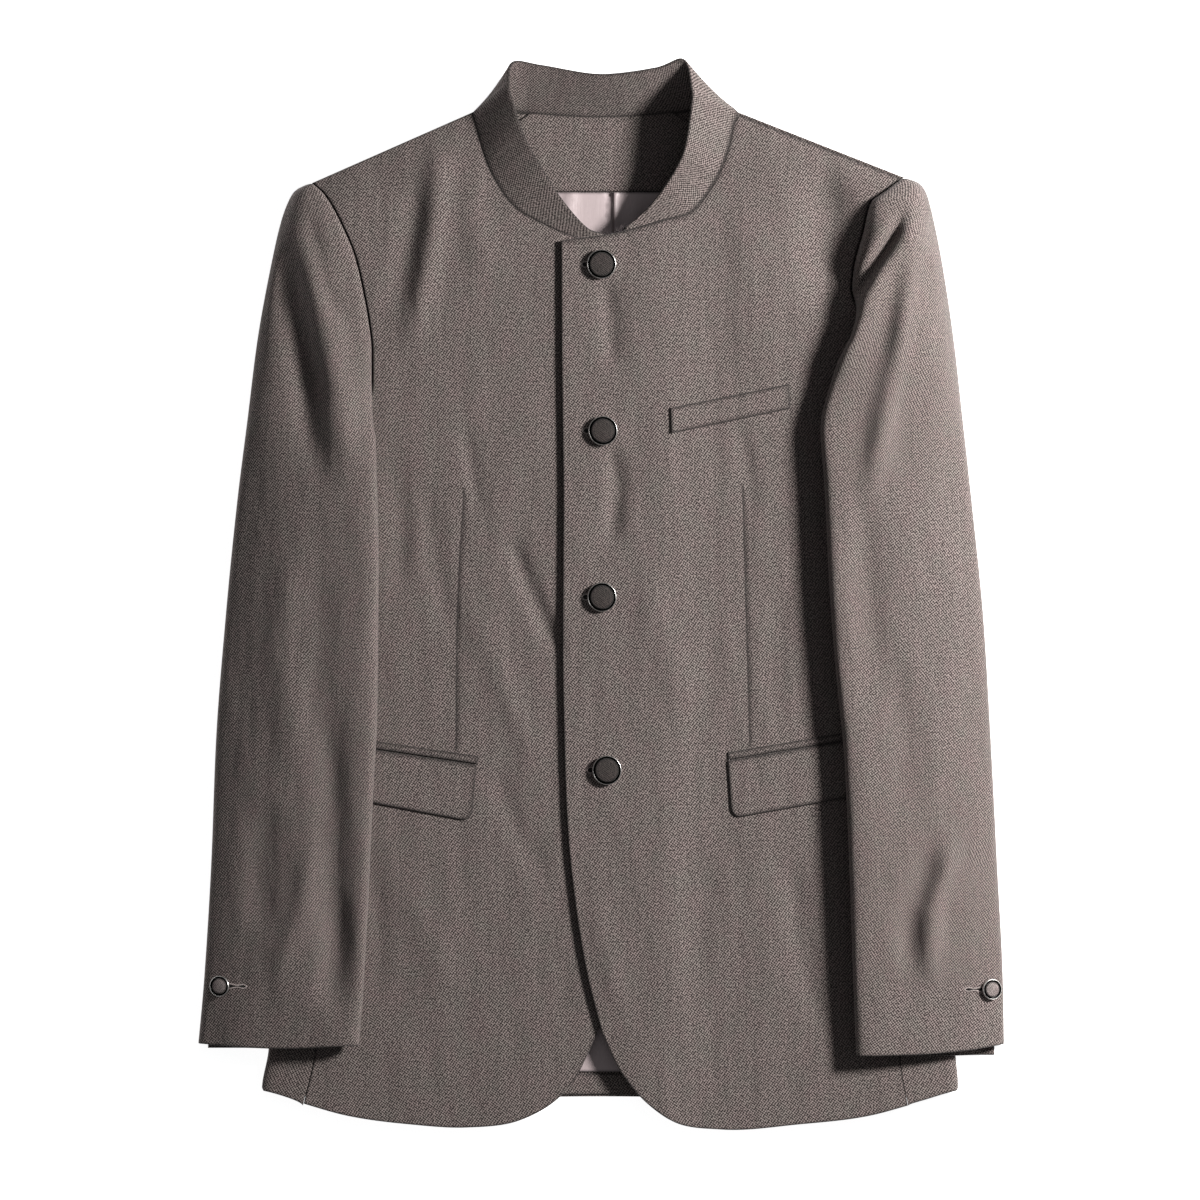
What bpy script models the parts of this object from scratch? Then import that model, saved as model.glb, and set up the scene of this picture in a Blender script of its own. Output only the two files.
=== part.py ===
"""Mao jacket, buttoned and laid flat on its back with the front up.

Sizes are in millimetres inside the functions and metres in the meshes. +X is the viewer's right,
which is the wearer's left, +Y points to the collar, and +Z up from the surface it lies on.
Names use the wearer's right and left.
"""

from typing import NamedTuple

import bpy
import numpy as np
from mathutils import Matrix, Vector
from mathutils.geometry import delaunay_2d_cdt

MM = 0.001
MIDDLE = (-0.2, -0.8, 0.0)  # middle of the whole outline, which the meshes take as their origin
CLOTH = 1.5  # wall of a panel: cloth with its canvas and lining
SEAM = 0.3  # gap between two pieces sewn together
LINING_WALL = 1.0
JET_WALL = 1.1
BAND_WALL = 2.4  # the collar is two layers and a stiffener
LAP = 4.2  # how far the over front stands above the under front
LAP_FLAT = 42.0  # x up to which it stands that high
LAP_FADE = 45.0  # width over which it comes down again
HEM_TURN_UP = -360.0  # y of the top of the back's turned-up hem
FACING_BOTTOM = 302.0  # y where the back neck facing meets the lining
PLEAT_X = 10.0  # the lining's centre pleat, its lower end and its height
PLEAT_END = 120.0
PLEAT_HEIGHT = 1.4
CENTRE = 1.5  # x of the centre front
ARMPIT = 88.0  # y of the armhole's lowest point, on the side fold
FRONT_SEAM_TOP = 97.0  # y where the side panel's two seams reach the armhole
BACK_SEAM_TOP = 108.0
HEM = -384.0  # y of the hem at the side seams
HEM_RISE = 11.0  # how far the hem curves up between them, at the side fold
SHOULDER_SLOPE = 40.0  # width over which a front comes down to its shoulder seam
RIM_SLOPE = 16.0  # width over which the back rises to it
RIM_AT_NECK = 10.4  # height of the back's lower face at the two ends of the shoulder seam
RIM_AT_POINT = 6.4
SIDE_TAPER = 60.0  # width over which the body thins towards its side folds
SIDE_THINNING = 0.24
HIND_SEAM = 6.0  # distance of the sleeve's hind seam from its outer fold, on the underside
FRONT_SEAM = 22.0  # the same of the front seam from the inner fold
OVER_FLAPS = 3.3  # sleeve's underside above the body, where the pocket flaps lie between
OVER_CLOTH = 1.1  # and where nothing does
ARMHOLE_STEP = 13.0  # distance between the points that shape an armhole
NOTCH = 0.55  # share of the under sleeve's width at which its back lobe starts
FRONT_BUTTON = 11.0  # radii
SLEEVE_BUTTON = 7.8
BUTTON_SIDES = 16
OVER_EDGE = 3.0  # strip of the back that shows behind the left shoulder seam


class Fold(NamedTuple):
    """A soft trough, or a ridge if depth is negative, along a line of (x, y) points."""

    path: tuple
    width: float
    depth: float


class Side(NamedTuple):
    """One side of the jacket. Tables have the columns y and x, and lift has y and height."""

    sign: float  # the way from this side's silhouette to the centre
    neck: tuple  # shoulder seam's two ends
    point: tuple
    armhole: tuple
    back_armhole: tuple
    side_fold: tuple
    front_seam: tuple
    back_seam: tuple
    outer: tuple  # the sleeve's outer fold
    inner: tuple  # the sleeve's inner fold, below the pitch
    lift: tuple  # how far the inner fold stands above the body
    cuff: tuple  # columns x and y
    pitch: float  # y below which the sleeve folds over its armhole seam
    lobe: float  # y of the top of the under sleeve's front lobe


RIGHT = Side(
    sign=1.0,
    neck=(-95.6, 362.0),
    point=(-217.5, 308.5),
    armhole=((310, -218.5), (300, -207.4), (278, -194.6), (253, -184.1), (228, -178.1), (203, -173.6),
             (182, -171.4), (158, -171.4), (138, -177), (115, -190), (97, -215), (91, -237), (88, -250)),
    back_armhole=((310, -218.5), (290, -205), (260, -196), (220, -192), (180, -193), (140, -199),
                  (108, -212), (93, -237), (88, -250)),
    side_fold=((-384, -254.6), (-372, -254.6), (-342, -249.6), (-200, -243), (-30, -238), (60, -246),
               (88, -250), (120, -252)),
    front_seam=((-384, -224), (-343, -215), (-200, -205), (-30, -201), (60, -208), (97, -215)),
    back_seam=((-384, -203), (-200, -193), (-30, -188), (60, -198), (108, -212)),
    outer=((-340, -302), (-290, -297.5), (-200, -292), (-110, -288.5), (-20, -281.5), (70, -272.5),
           (130, -265), (190, -257.5), (250, -246.5), (280, -239.5), (295, -234), (303, -229),
           (308, -219.5)),
    inner=((-340, -182.6), (-293, -178.9), (-158, -172.1), (-80, -168.4), (25, -167.6), (118, -169.9),
           (158, -171.4)),
    lift=((-340, 17), (-250, 19), (-100, 21), (50, 20), (110, 14), (158, 5.5), (230, 4.5), (308, 3)),
    cuff=((-302, -337.5), (-245, -340.5), (-182, -338)),
    pitch=158.0,
    lobe=130.0,
)
LEFT = Side(
    sign=-1.0,
    neck=(101.6, 362.0),
    point=(228.0, 312.5),
    armhole=((314, 227.5), (301, 210.4), (294, 201.4), (271, 195.4), (245, 188.6), (228, 187), (213, 192),
             (200, 194), (180, 194), (150, 197), (120, 206), (97, 226), (91, 245), (88, 258)),
    back_armhole=((314, 227.5), (292, 214), (260, 205), (220, 201), (180, 202), (140, 208), (108, 221),
                  (93, 245), (88, 258)),
    side_fold=((-384, 267.4), (-368, 267.4), (-342, 265), (-200, 258), (-30, 250), (60, 255), (88, 258),
               (120, 260)),
    front_seam=((-384, 230), (-352, 224.6), (-200, 216), (-30, 211), (60, 219), (97, 226)),
    back_seam=((-384, 216), (-200, 206), (-30, 200), (60, 208), (108, 221)),
    outer=((-345, 301.5), (-290, 300.5), (-200, 296), (-110, 291.4), (-20, 286), (70, 277), (130, 270.4),
           (190, 263.6), (250, 254.6), (280, 248.6), (295, 245), (303, 242), (309, 237), (312, 229.5)),
    inner=((-346, 191.6), (-293, 189.4), (-207, 186.4), (-125, 182.6), (-62, 176.6), (3, 171.4),
           (80, 167.6), (124, 164.6), (160, 173), (178, 179), (196, 186.5), (213, 190), (228, 187)),
    lift=((-345, 18), (-250, 21), (-100, 22), (60, 22), (120, 20), (180, 14), (228, 6), (312, 3.5)),
    cuff=((191, -345.8), (236, -345), (275, -342), (302, -338)),
    pitch=228.0,
    lobe=186.0,
)
SIDES = {"right": RIGHT, "left": LEFT}

# Height of the fronts' outer face down the body: y and height.
THICKNESS = ((-405, 10.5), (-300, 11), (-150, 12.5), (0, 14), (120, 17), (230, 18.5), (300, 18), (400, 17))

# The stand collar from the right front's end round the back to the left front's end. A row is a
# bone of the band: x, y on the neck seam, and x, y, z on the free edge.
BAND = (
    (0.0, 266.0, 2.0, 269.6, 17.5),
    (-20.0, 267.8, -10.0, 273.0, 22.0),
    (-46.0, 279.0, -26.6, 291.0, 28.0),
    (-66.4, 291.8, -40.9, 312.0, 33.5),
    (-83.6, 318.0, -57.4, 341.3, 37.0),
    (-94.1, 350.3, -67.9, 372.0, 38.0),
    (-95.6, 362.0, -69.8, 382.5, 37.0),
    (-83.0, 367.5, -66.6, 398.6, 31.0),
    (-53.6, 362.5, -44.0, 396.3, 26.5),
    (0.0, 359.5, -1.0, 389.8, 25.0),
    (54.0, 363.0, 40.0, 394.5, 27.0),
    (88.0, 368.0, 61.5, 400.5, 32.5),
    (101.6, 362.0, 67.5, 378.0, 37.0),
    (98.6, 351.0, 67.5, 366.0, 38.5),
    (94.0, 331.5, 63.5, 338.0, 40.0),
    (85.1, 310.5, 58.1, 322.5, 40.5),
    (67.9, 287.3, 46.1, 303.0, 36.5),
    (44.6, 279.8, 33.4, 287.5, 28.5),
    (17.0, 272.0, 19.5, 275.2, 22.5),
)
RIGHT_NECK_ROW = 6
LEFT_NECK_ROW = 12

# Outlines seen from above: x and y.
RIGHT_HEM = ((-224, -382.5), (-194.6, -390.8), (-142, -398.3), (-102, -400.5), (-61, -395), (-32.6, -378.8),
             (-18.4, -361.5), (-8.6, -342))
RIGHT_EDGE = ((-8.6, -342), (13, -290), (26, -207), (32, -80), (32, 86), (32, 262))
LEFT_HEM = ((230, -384), (205, -390.8), (146.6, -398.3), (90.4, -402), (56, -396.8), (34, -382),
            (15.4, -360), (0, -328.5))
LEFT_EDGE = ((0, -328.5), (-10.1, -289.5), (-22.9, -207), (-28.9, -79.5), (-28.9, 86.3), (-30, 168.8),
             (-30.4, 264.8))
BACK_HEM = ((-203, -383), (0, -377.6), (216, -384))
LINING_OUTLINE = ((-60, FACING_BOTTOM), (-120, 286), (-172, 240), (-176, 130), (-190, 80), (-186, -359),
                  (196, -359), (200, 80), (186, 130), (182, 240), (126, 286), (66, FACING_BOTTOM))
SIDE_TOP = ((0.0, 95.0), (0.3, 87.0), (0.5, 85.0), (0.72, 88.5), (1.0, 105.0))  # path share and y

# Pockets: four corners from above, from the top edge's inner end and round.
BREAST_WELT = ((51.4, 139.5), (140.6, 157.5), (141.8, 138.8), (52.1, 120.0))
POCKET_JETS = {
    "right": ((-91.9, -121.5), (-229, -101.1), (-230, -107.1), (-93, -127.5)),
    "left": ((94.5, -118.5), (245, -93.5), (246, -99.5), (94.9, -124.5)),
}
POCKET_FLAPS = {
    "right": ((-93.5, -128.0), (-229, -107.5), (-230, -146), (-104, -169.5), (-96.4, -163.0)),
    "left": ((94.5, -127.3), (245, -100.0), (246, -142), (103, -167.3), (97.2, -161.0)),
}
FRONT_BUTTONS = ((0.0, 246.8), (1.1, 122.3), (0.4, -2.3), (4.1, -132.0))
SLEEVE_BUTTONS = {"right": (-285.4, -294.0), "left": (291.6, -296.3)}

FOLDS = (
    Fold(((-133, 318), (-144, 268), (-152, 201)), 11, 3.0),
    Fold(((180, 312), (184, 255), (186, 205)), 16, 4.0),
)
SLEEVE_FOLDS = (
    Fold(((-220, 290), (-209, 234), (-192, 196)), 6.5, 3.2),
    Fold(((-232, 278), (-225, 222), (-210, 118)), 11, 5.0),
    Fold(((-250, -150), (-256, -215), (-258, -262)), 13, 3.2),
    Fold(((-196, -215), (-200, -270), (-206, -318)), 12, 3.0),
    Fold(((228, 282), (212, 257), (186, 229)), 6.0, 5.0),
    Fold(((233, 297), (227, 243), (218, 199), (212, 115)), 10, 3.2),
    Fold(((258, -186), (236, -238), (228, -285)), 10, 3.4),
    Fold(((196, 90), (200, -20), (206, -120)), 16, 2.2),
)

COLOURS = {  # name: colour, roughness, metallic
    "wool": ((0.155, 0.128, 0.118), 0.9, 0.0),
    "lining": ((0.62, 0.52, 0.52), 0.45, 0.0),
    "button rim": ((0.24, 0.235, 0.23), 0.3, 1.0),
    "button face": ((0.035, 0.031, 0.03), 0.75, 0.0),
}


def ease(share):
    """Goes smoothly from 0 to 1."""
    share = np.clip(share, 0.0, 1.0)
    return share * share * (3.0 - 2.0 * share)


def crown(share):
    """Goes from 0 to 1, steep at first and level at the end."""
    return 1.0 - (1.0 - np.clip(share, 0.0, 1.0)) ** 2


def read(table, key):
    """The second column of a table at each key, on a smooth curve that doesn't overshoot."""
    table = np.array(table, float)
    keys, values = table[np.argsort(table[:, 0])].T
    steps = np.diff(values) / np.diff(keys)
    turn = steps[:-1] * steps[1:]
    middle = np.where(turn > 0, 2 * turn / np.where(turn > 0, steps[:-1] + steps[1:], 1), 0.0)
    slopes = np.concatenate([steps[:1], middle, steps[-1:]])
    key = np.clip(key, keys[0], keys[-1])
    i = np.clip(np.searchsorted(keys, key) - 1, 0, len(keys) - 2)
    width = keys[i + 1] - keys[i]
    t = (key - keys[i]) / width
    start = values[i] * (1 + 2 * t) * (1 - t) ** 2 + slopes[i] * width * t * (1 - t) ** 2
    end = values[i + 1] * t * t * (3 - 2 * t) + slopes[i + 1] * width * t * t * (t - 1)
    return start + end


def line_through(points, step):
    """Points about a step apart on a smooth curve through the given ones, in any number of axes."""
    points = np.array(points, float)
    along = np.concatenate([[0.0], np.cumsum(np.linalg.norm(np.diff(points, axis=0), axis=1))])
    at = np.linspace(0.0, along[-1], max(2, round(along[-1] / step) + 1))
    slopes = np.gradient(points, along, axis=0, edge_order=1)
    i = np.clip(np.searchsorted(along, at) - 1, 0, len(along) - 2)
    width = (along[i + 1] - along[i])[:, None]
    t = (at[:, None] - along[i][:, None]) / width
    start = points[i] * (1 + 2 * t) * (1 - t) ** 2 + slopes[i] * width * t * (1 - t) ** 2
    end = points[i + 1] * t * t * (3 - 2 * t) + slopes[i + 1] * width * t * t * (t - 1)
    return start + end


def to_line(path, x, y):
    """Distance from each (x, y) to a line of points, and the share of the line where it is nearest."""
    path = np.array(path, float)
    lengths = np.linalg.norm(np.diff(path, axis=0), axis=1)
    starts = np.concatenate([[0.0], np.cumsum(lengths)])
    best = np.full(np.shape(x), np.inf)
    share = np.zeros(np.shape(x))
    for k, (a, b) in enumerate(zip(path[:-1], path[1:])):
        t = np.clip(((x - a[0]) * (b[0] - a[0]) + (y - a[1]) * (b[1] - a[1])) / lengths[k] ** 2, 0, 1)
        far = np.hypot(x - a[0] - t * (b[0] - a[0]), y - a[1] - t * (b[1] - a[1]))
        nearer = far < best
        best = np.where(nearer, far, best)
        share = np.where(nearer, (starts[k] + t * lengths[k]) / starts[-1], share)
    return best, share


def folded(folds, x, y):
    """Height that the folds add at each (x, y)."""
    height = np.zeros(np.shape(x))
    for fold in folds:
        far, share = to_line(fold.path, x, y)
        fade = ease(np.minimum(share, 1 - share) / 0.3)
        height = height - fold.depth * fade * np.exp(-((far / fold.width) ** 2))
    return height


def from_shoulder(x, y):
    """Distance inwards from the nearer shoulder seam, and the share of the way along it from the neck."""
    found = []
    for side in SIDES.values():
        neck = np.array(side.neck)
        run = np.array(side.point) - neck
        length = np.linalg.norm(run)
        share = ((x - neck[0]) * run[0] + (y - neck[1]) * run[1]) / length**2
        inwards = side.sign * ((x - neck[0]) * -run[1] + (y - neck[1]) * run[0]) / length
        found.append((np.maximum(inwards, 0.0), np.clip(share, 0.0, 1.0)))
    is_left = x > CENTRE
    return (np.where(is_left, found[1][k], found[0][k]) for k in range(2))


def rim_height(share):
    """Height of the back's lower face along the shoulder seam."""
    return RIM_AT_NECK + (RIM_AT_POINT - RIM_AT_NECK) * share


def back_height(x, y):
    """Height of the back's lower face: flat on the surface, and up to the shoulder seams."""
    inwards, share = from_shoulder(x, y)
    return rim_height(share) * (1.0 - ease(inwards / RIM_SLOPE))


def body_height(x, y):
    """Height of the outer face of the under front and the side panels."""
    to_fold = np.minimum(x - read(RIGHT.side_fold, y), read(LEFT.side_fold, y) - x)
    thinning = 1.0 - SIDE_THINNING * np.clip(1.0 - to_fold / SIDE_TAPER, 0.0, 1.0) ** 2
    height = read(THICKNESS, y) * thinning + folded(FOLDS, x, y)
    inwards, share = from_shoulder(x, y)
    seam = rim_height(share) + 2 * CLOTH + SEAM
    return seam + (height - seam) * crown(inwards / SHOULDER_SLOPE)


def over_height(x, y):
    """Height of the over front's outer face, which lies on the under front's edge."""
    return body_height(x, y) + LAP * (1.0 - ease((x - LAP_FLAT) / LAP_FADE))


def lying(height, above=0.0):
    """A surface over the plan, at the height that the function gives."""
    return lambda x, y: np.stack([x, y, height(x, y) + above], axis=-1)


def b_spline(controls, share):
    """Cubic B-spline that starts and ends on its outermost controls, one row of controls a point."""
    ends = [controls[:, :1]] * 2 + [controls] + [controls[:, -1:]] * 2
    controls = np.concatenate(ends, axis=1)
    spans = controls.shape[1] - 3
    at = np.clip(share, 0.0, 1.0) * spans
    i = np.minimum(at.astype(int), spans - 1)
    t = at - i
    weights = ((1 - t) ** 3, 3 * t**3 - 6 * t**2 + 4, 1 + 3 * t + 3 * t**2 - 3 * t**3, t**3)
    rows = np.arange(len(at))
    return sum(w[:, None] * controls[rows, i + k] for k, w in enumerate(weights)) / 6.0


class Sleeve:
    """One sleeve as a stack of level cuts: distance inwards from the outer fold, and height."""

    def __init__(self, side):
        self.side = side

    def inner(self, y):
        """x of the armhole seam above the pitch, and of the inner fold below it."""
        return np.where(y >= self.side.pitch, read(self.side.armhole, y), read(self.side.inner, y))

    def width(self, y):
        """Width seen from above."""
        return np.abs(self.inner(y) - read(self.side.outer, y))

    def x(self, inwards, y):
        """x at a distance from the outer fold."""
        return read(self.side.outer, y) + self.side.sign * inwards

    def overhang(self, y):
        """How far the inner fold reaches past the armhole seam."""
        return np.abs(read(self.side.armhole, y) - self.inner(y))

    def front_seam(self, y):
        """Distance of the front seam from the outer fold, on the underside."""
        return self.width(y) - np.minimum(FRONT_SEAM, 0.6 * self.overhang(y))

    def rest_height(self, inwards, y):
        """Height of the underside where it lies over the body."""
        clear = OVER_CLOTH + (OVER_FLAPS - OVER_CLOTH) * ease((60.0 - y) / 60.0)
        return body_height(self.x(inwards, y), y) + clear

    def top(self, share, y):
        """Top sleeve from the hind seam, round the outer fold, over and round the inner fold."""
        turned = np.clip(self.overhang(y) / 18.0, 0.0, 1.0)
        wide = self.width(y) - 3 * SEAM * (1.0 - turned)
        seam = self.front_seam(y)
        full = ease((y - 60.0) / 140.0)
        low = self.rest_height(wide, y) - OVER_CLOTH * (1.0 - turned)
        ridge = body_height(self.x(wide, y), y) + read(self.side.lift, y)
        rise = ridge - low

        def mix(plain, over):
            return plain + (over - plain) * turned

        under = [wide - (wide - seam) * share_in for share_in in (0.3, 0.65, 1.0)]
        controls = [
            (np.minimum(HIND_SEAM, 0.3 * wide), 0.0 * y),
            (np.minimum(3.0, 0.2 * wide), 0.0 * y),
            (-1.3 + 0.0 * y, 0.2 + 0.0 * y),
            (-1.3 + 0.0 * y, 0.28 * ridge),
            (0.08 * wide, (0.42 + 0.22 * full) * ridge),
            (0.25 * wide, (0.66 + 0.24 * full) * ridge),
            (0.50 * wide, (0.84 + 0.18 * full) * ridge),
            (0.75 * wide, (0.96 + 0.06 * full) * ridge),
            (wide - mix(0.14 * wide, 9.0), ridge + mix(0.3, 1.0)),
            (wide + mix(-0.05 * wide, 1.3), low + mix(0.8, 1.0) * rise),
            (wide + mix(-0.015 * wide, 1.3), low + mix(0.45, 0.34) * rise),
            (mix(wide, under[0]), mix(low + 0.18 * rise, self.rest_height(under[0], y))),
            (mix(wide, under[1]), mix(low, self.rest_height(under[1], y))),
            (mix(wide, under[2]), mix(low, self.rest_height(under[2], y))),
        ]
        stacked = np.stack([np.stack(pair, axis=-1) for pair in controls], axis=1)
        flat = b_spline(stacked, share)
        x = self.x(flat[:, 0], y)
        upward = ease((flat[:, 1] - 0.45 * ridge) / (0.3 * ridge)) * ease((0.93 - share) / 0.12)
        return np.stack([x, y, flat[:, 1] + folded(SLEEVE_FOLDS, x, y) * upward], axis=-1)

    def under(self, share, y):
        """Under sleeve from the front seam to the hind seam: over the body, down its side, on the floor."""
        to_body = np.abs(read(self.side.side_fold, y) - read(self.side.outer, y))
        below = ease((ARMPIT - y) / 40.0)
        step = np.minimum(14.0 + 9.0 * below, to_body - HIND_SEAM - 3.0)
        outer = read(self.side.outer, y)
        front = np.where(y > ARMPIT, np.abs(read(self.side.armhole, y) - outer), to_body + 1 + 6 * below)
        back_x = read(self.side.back_armhole, y)
        back = np.where(y > ARMPIT, np.abs(back_x - outer), to_body - step)
        front = front + SEAM / 2
        back = back - SEAM / 2 - 2.0 * ease((y - self.side.point[1] + 40.0) / 30.0)
        raised = np.where(y > ARMPIT, back_height(back_x, y), 0.0)
        seam = self.front_seam(y) - SEAM
        hind = np.minimum(HIND_SEAM, 0.3 * self.width(y)) + SEAM + 2 * SEAM * ease((y - 200.0) / 60.0)
        over = seam + (front - seam) * share / (1 - NOTCH)
        drop = (share - (1 - NOTCH)) / (2 * NOTCH - 1)
        down = front + (back - front) * drop
        floor_share = (share - NOTCH) / (1 - NOTCH)
        on_floor = back + (hind - back) * floor_share
        is_over = share <= 1 - NOTCH
        is_floor = share >= NOTCH
        inwards = np.where(is_over, over, np.where(is_floor, on_floor, down))
        height = np.where(
            is_over,
            self.rest_height(inwards, y),
            np.where(
                is_floor,
                raised * (1 - ease(floor_share)),
                self.rest_height(front, y) * (1 - ease(drop)),
            ),
        )
        return np.stack([self.x(inwards, y), y, height], axis=-1)


def side_path(side):
    """A side panel from its front seam round the side fold to its back seam on the floor."""

    def place(share, y):
        fold = read(side.side_fold, y)
        seam = read(side.front_seam, y)
        steps = [seam - side.sign * SEAM / 2, fold + side.sign * 24, fold + side.sign * 12]
        full = body_height(fold + side.sign * 12, y)
        controls = [(x, body_height(x, y)) for x in steps]
        controls += [(fold + side.sign, 0.86 * full), (fold - side.sign * 1.2, 0.45 * full)]
        controls += [(fold + side.sign, 0.0 * y), (fold + side.sign * 12, 0.0 * y)]
        controls += [(read(side.back_seam, y) - side.sign * SEAM / 2, 0.0 * y)]
        flat = b_spline(np.stack([np.stack(pair, axis=-1) for pair in controls], axis=1), share)
        return np.stack([flat[:, 0], y, flat[:, 1]], axis=-1)

    return place


def inside(outline, points):
    """Whether each point lies inside a closed outline."""
    a, b = outline, np.roll(outline, -1, axis=0)
    px, py = points[:, None, 0], points[:, None, 1]
    crosses = (a[:, 1] > py) != (b[:, 1] > py)
    rise = np.where(b[:, 1] == a[:, 1], 1.0, b[:, 1] - a[:, 1])
    at = a[:, 0] + (py - a[:, 1]) / rise * (b[:, 0] - a[:, 0])
    return (crosses & (px < at)).sum(axis=1) % 2 == 1


def shrunk(outline, by):
    """A closed outline moved inwards, which leaves half of a seam's gap on each side."""
    outline = np.array(outline, float)
    before = outline - np.roll(outline, 1, axis=0)
    after = np.roll(outline, -1, axis=0) - outline
    normals = []
    for run in (before, after):
        turned = np.stack([-run[:, 1], run[:, 0]], axis=-1)
        normals.append(turned / np.linalg.norm(turned, axis=1)[:, None])
    area = np.sum(outline[:, 0] * np.roll(outline[:, 1], -1) - np.roll(outline[:, 0], -1) * outline[:, 1])
    middle = normals[0] + normals[1]
    middle /= np.maximum(np.sum(middle * normals[0], axis=1), 0.5)[:, None]
    return outline + np.sign(area) * by * middle


def closed_line(*edges, apart=1.2):
    """One closed outline out of edges that follow each other, its points no nearer than apart."""
    points = np.concatenate([np.array(edge, float) for edge in edges])
    keep = np.linalg.norm(points - np.roll(points, 1, axis=0), axis=1) > apart
    return points[keep]


def cut_out(outline, spacing, creases=()):
    """Triangles that fill an outline: its own points, and a grid of the spacing inside."""
    scale = np.array(spacing, float)
    rim = outline / scale
    low, high = rim.min(axis=0), rim.max(axis=0)
    columns = np.arange(np.floor(low[0]), high[0] + 1.0)
    rows = np.arange(np.floor(low[1]), high[1] + 1.0)
    grid = np.array([(c, r) for c in columns for r in rows])
    lines = [np.array(line, float) / scale for line in creases]
    far, _ = to_line(np.concatenate([rim, rim[:1]]), grid[:, 0], grid[:, 1])
    keep = inside(rim, grid) & (far > 0.45)
    for line in lines:
        keep &= to_line(line, grid[:, 0], grid[:, 1])[0] > 0.4
    points = np.concatenate([rim, *lines, grid[keep]])
    edges = []
    start = len(rim)
    for line in lines:
        edges += [(start + k, start + k + 1) for k in range(len(line) - 1)]
        start += len(line)
    found = delaunay_2d_cdt([Vector(p) for p in points], edges, [list(range(len(rim)))], 1, 1e-6)
    return np.array([tuple(p) for p in found[0]]) * scale, np.array([tuple(f) for f in found[2]])


def normals_of(place, points):
    """Unit normals of a surface at its own coordinates, by small steps along both."""
    u, v = points.T
    step_u = 1e-4 * max(np.ptp(u), 1e-6)
    step_v = 1e-4 * max(np.ptp(v), 1e-6)
    along_u = place(u + step_u, v) - place(u - step_u, v)
    along_v = place(u, v + step_v) - place(u, v - step_v)
    normal = np.cross(along_u, along_v)
    return normal / np.maximum(np.linalg.norm(normal, axis=1), 1e-12)[:, None]


def material(finish):
    """The material of a finish, made once."""
    if finish in bpy.data.materials:
        return bpy.data.materials[finish]
    colour, roughness, metallic = COLOURS[finish]
    made = bpy.data.materials.new(finish)
    made.use_nodes = True
    shader = made.node_tree.nodes["Principled BSDF"]
    shader.inputs["Base Color"].default_value = (*colour, 1.0)
    shader.inputs["Roughness"].default_value = roughness
    shader.inputs["Metallic"].default_value = metallic
    return made


def add_object(name, points, faces, finish):
    """An object from points in millimetres."""
    mesh = bpy.data.meshes.new(name)
    corners = (np.asarray(points) - MIDDLE) * MM
    mesh.from_pydata(corners.tolist(), [], [list(map(int, face)) for face in faces])
    mesh.validate()
    mesh.shade_smooth()
    mesh.set_sharp_from_angle(angle=np.radians(40))
    mesh.materials.append(material(finish))
    made = bpy.data.objects.new(name, mesh)
    bpy.context.scene.collection.objects.link(made)
    return made


def add_panel(name, outline, spacing, place, outward, wall=CLOTH, finish="wool", creases=(), inner=None):
    """One cut piece of cloth. Its outline is in the surface's own coordinates, outward is 1 where
    their right-handed normal points out of the garment, and wall is its thickness or a function."""
    flat, triangles = cut_out(outline, spacing, creases)
    outer = place(*flat.T)
    if inner is None:
        thick = wall(*flat.T)[:, None] if callable(wall) else wall
        lower = outer - outward * normals_of(place, flat) * thick
    else:
        lower = inner(*flat.T)
    if outward < 0:
        triangles = triangles[:, ::-1]
    count = len(flat)
    faces = [tuple(face) for face in triangles]
    faces += [tuple(face + count) for face in triangles[:, ::-1]]
    ends = {(a, b) for face in triangles for a, b in zip(face, np.roll(face, -1))}
    faces += [(b, a, a + count, b + count) for a, b in ends if (b, a) not in ends]
    return add_object(name, np.concatenate([outer, lower]), faces, finish)


def add_turned(name, profile, sides, base, normal, finish):
    """A piece turned from a closed profile of radius and height, which starts and ends on the axis."""
    angles = 2 * np.pi * np.arange(sides) / sides
    rings = profile[1:-1]
    points = [(0.0, 0.0, profile[0][1]), (0.0, 0.0, profile[-1][1])]
    for radius, height in rings:
        points += [(radius * np.cos(a), radius * np.sin(a), height) for a in angles]
    faces = []
    for k in range(sides):
        after = (k + 1) % sides
        faces.append((0, 2 + after, 2 + k))
        last = 2 + (len(rings) - 1) * sides
        faces.append((1, last + k, last + after))
        for ring in range(len(rings) - 1):
            start = 2 + ring * sides
            faces.append((start + k, start + after, start + after + sides, start + k + sides))
    turn = Vector(normal).to_track_quat("Z", "Y").to_matrix().to_4x4()
    world = Matrix.Translation(Vector(base)) @ turn
    return add_object(name, [tuple(world @ Vector(p)) for p in points], faces, finish)


def band_rows(share):
    """The collar at each share of its length: x, y, z of the neck seam and of the free edge."""
    rows = np.array(BAND)
    spans = len(BAND) - 1
    slopes = np.gradient(rows, axis=0)
    i = np.clip((share * spans).astype(int), 0, spans - 1)
    t = (share * spans - i)[:, None]
    start = rows[i] * (1 + 2 * t) * (1 - t) ** 2 + slopes[i] * t * (1 - t) ** 2
    end = rows[i + 1] * t * t * (3 - 2 * t) + slopes[i + 1] * t * t * (t - 1)
    x, y, *edge = (start + end).T
    at = share * spans
    height = np.where(at >= LEFT_NECK_ROW, over_height(x, y), body_height(x, y))
    is_back = (at > RIGHT_NECK_ROW) & (at < LEFT_NECK_ROW)
    height = np.where(is_back, back_height(x, y) + 3 * SEAM, height)
    return np.stack([x, y, height], axis=-1), np.stack(edge, axis=-1)


def neck_edge(first, last):
    """The neck seam seen from above, between two rows of the band."""
    where = np.linspace(first, last, 2 * (last - first) + 1) / (len(BAND) - 1)
    return band_rows(where)[0][:, :2]


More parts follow.
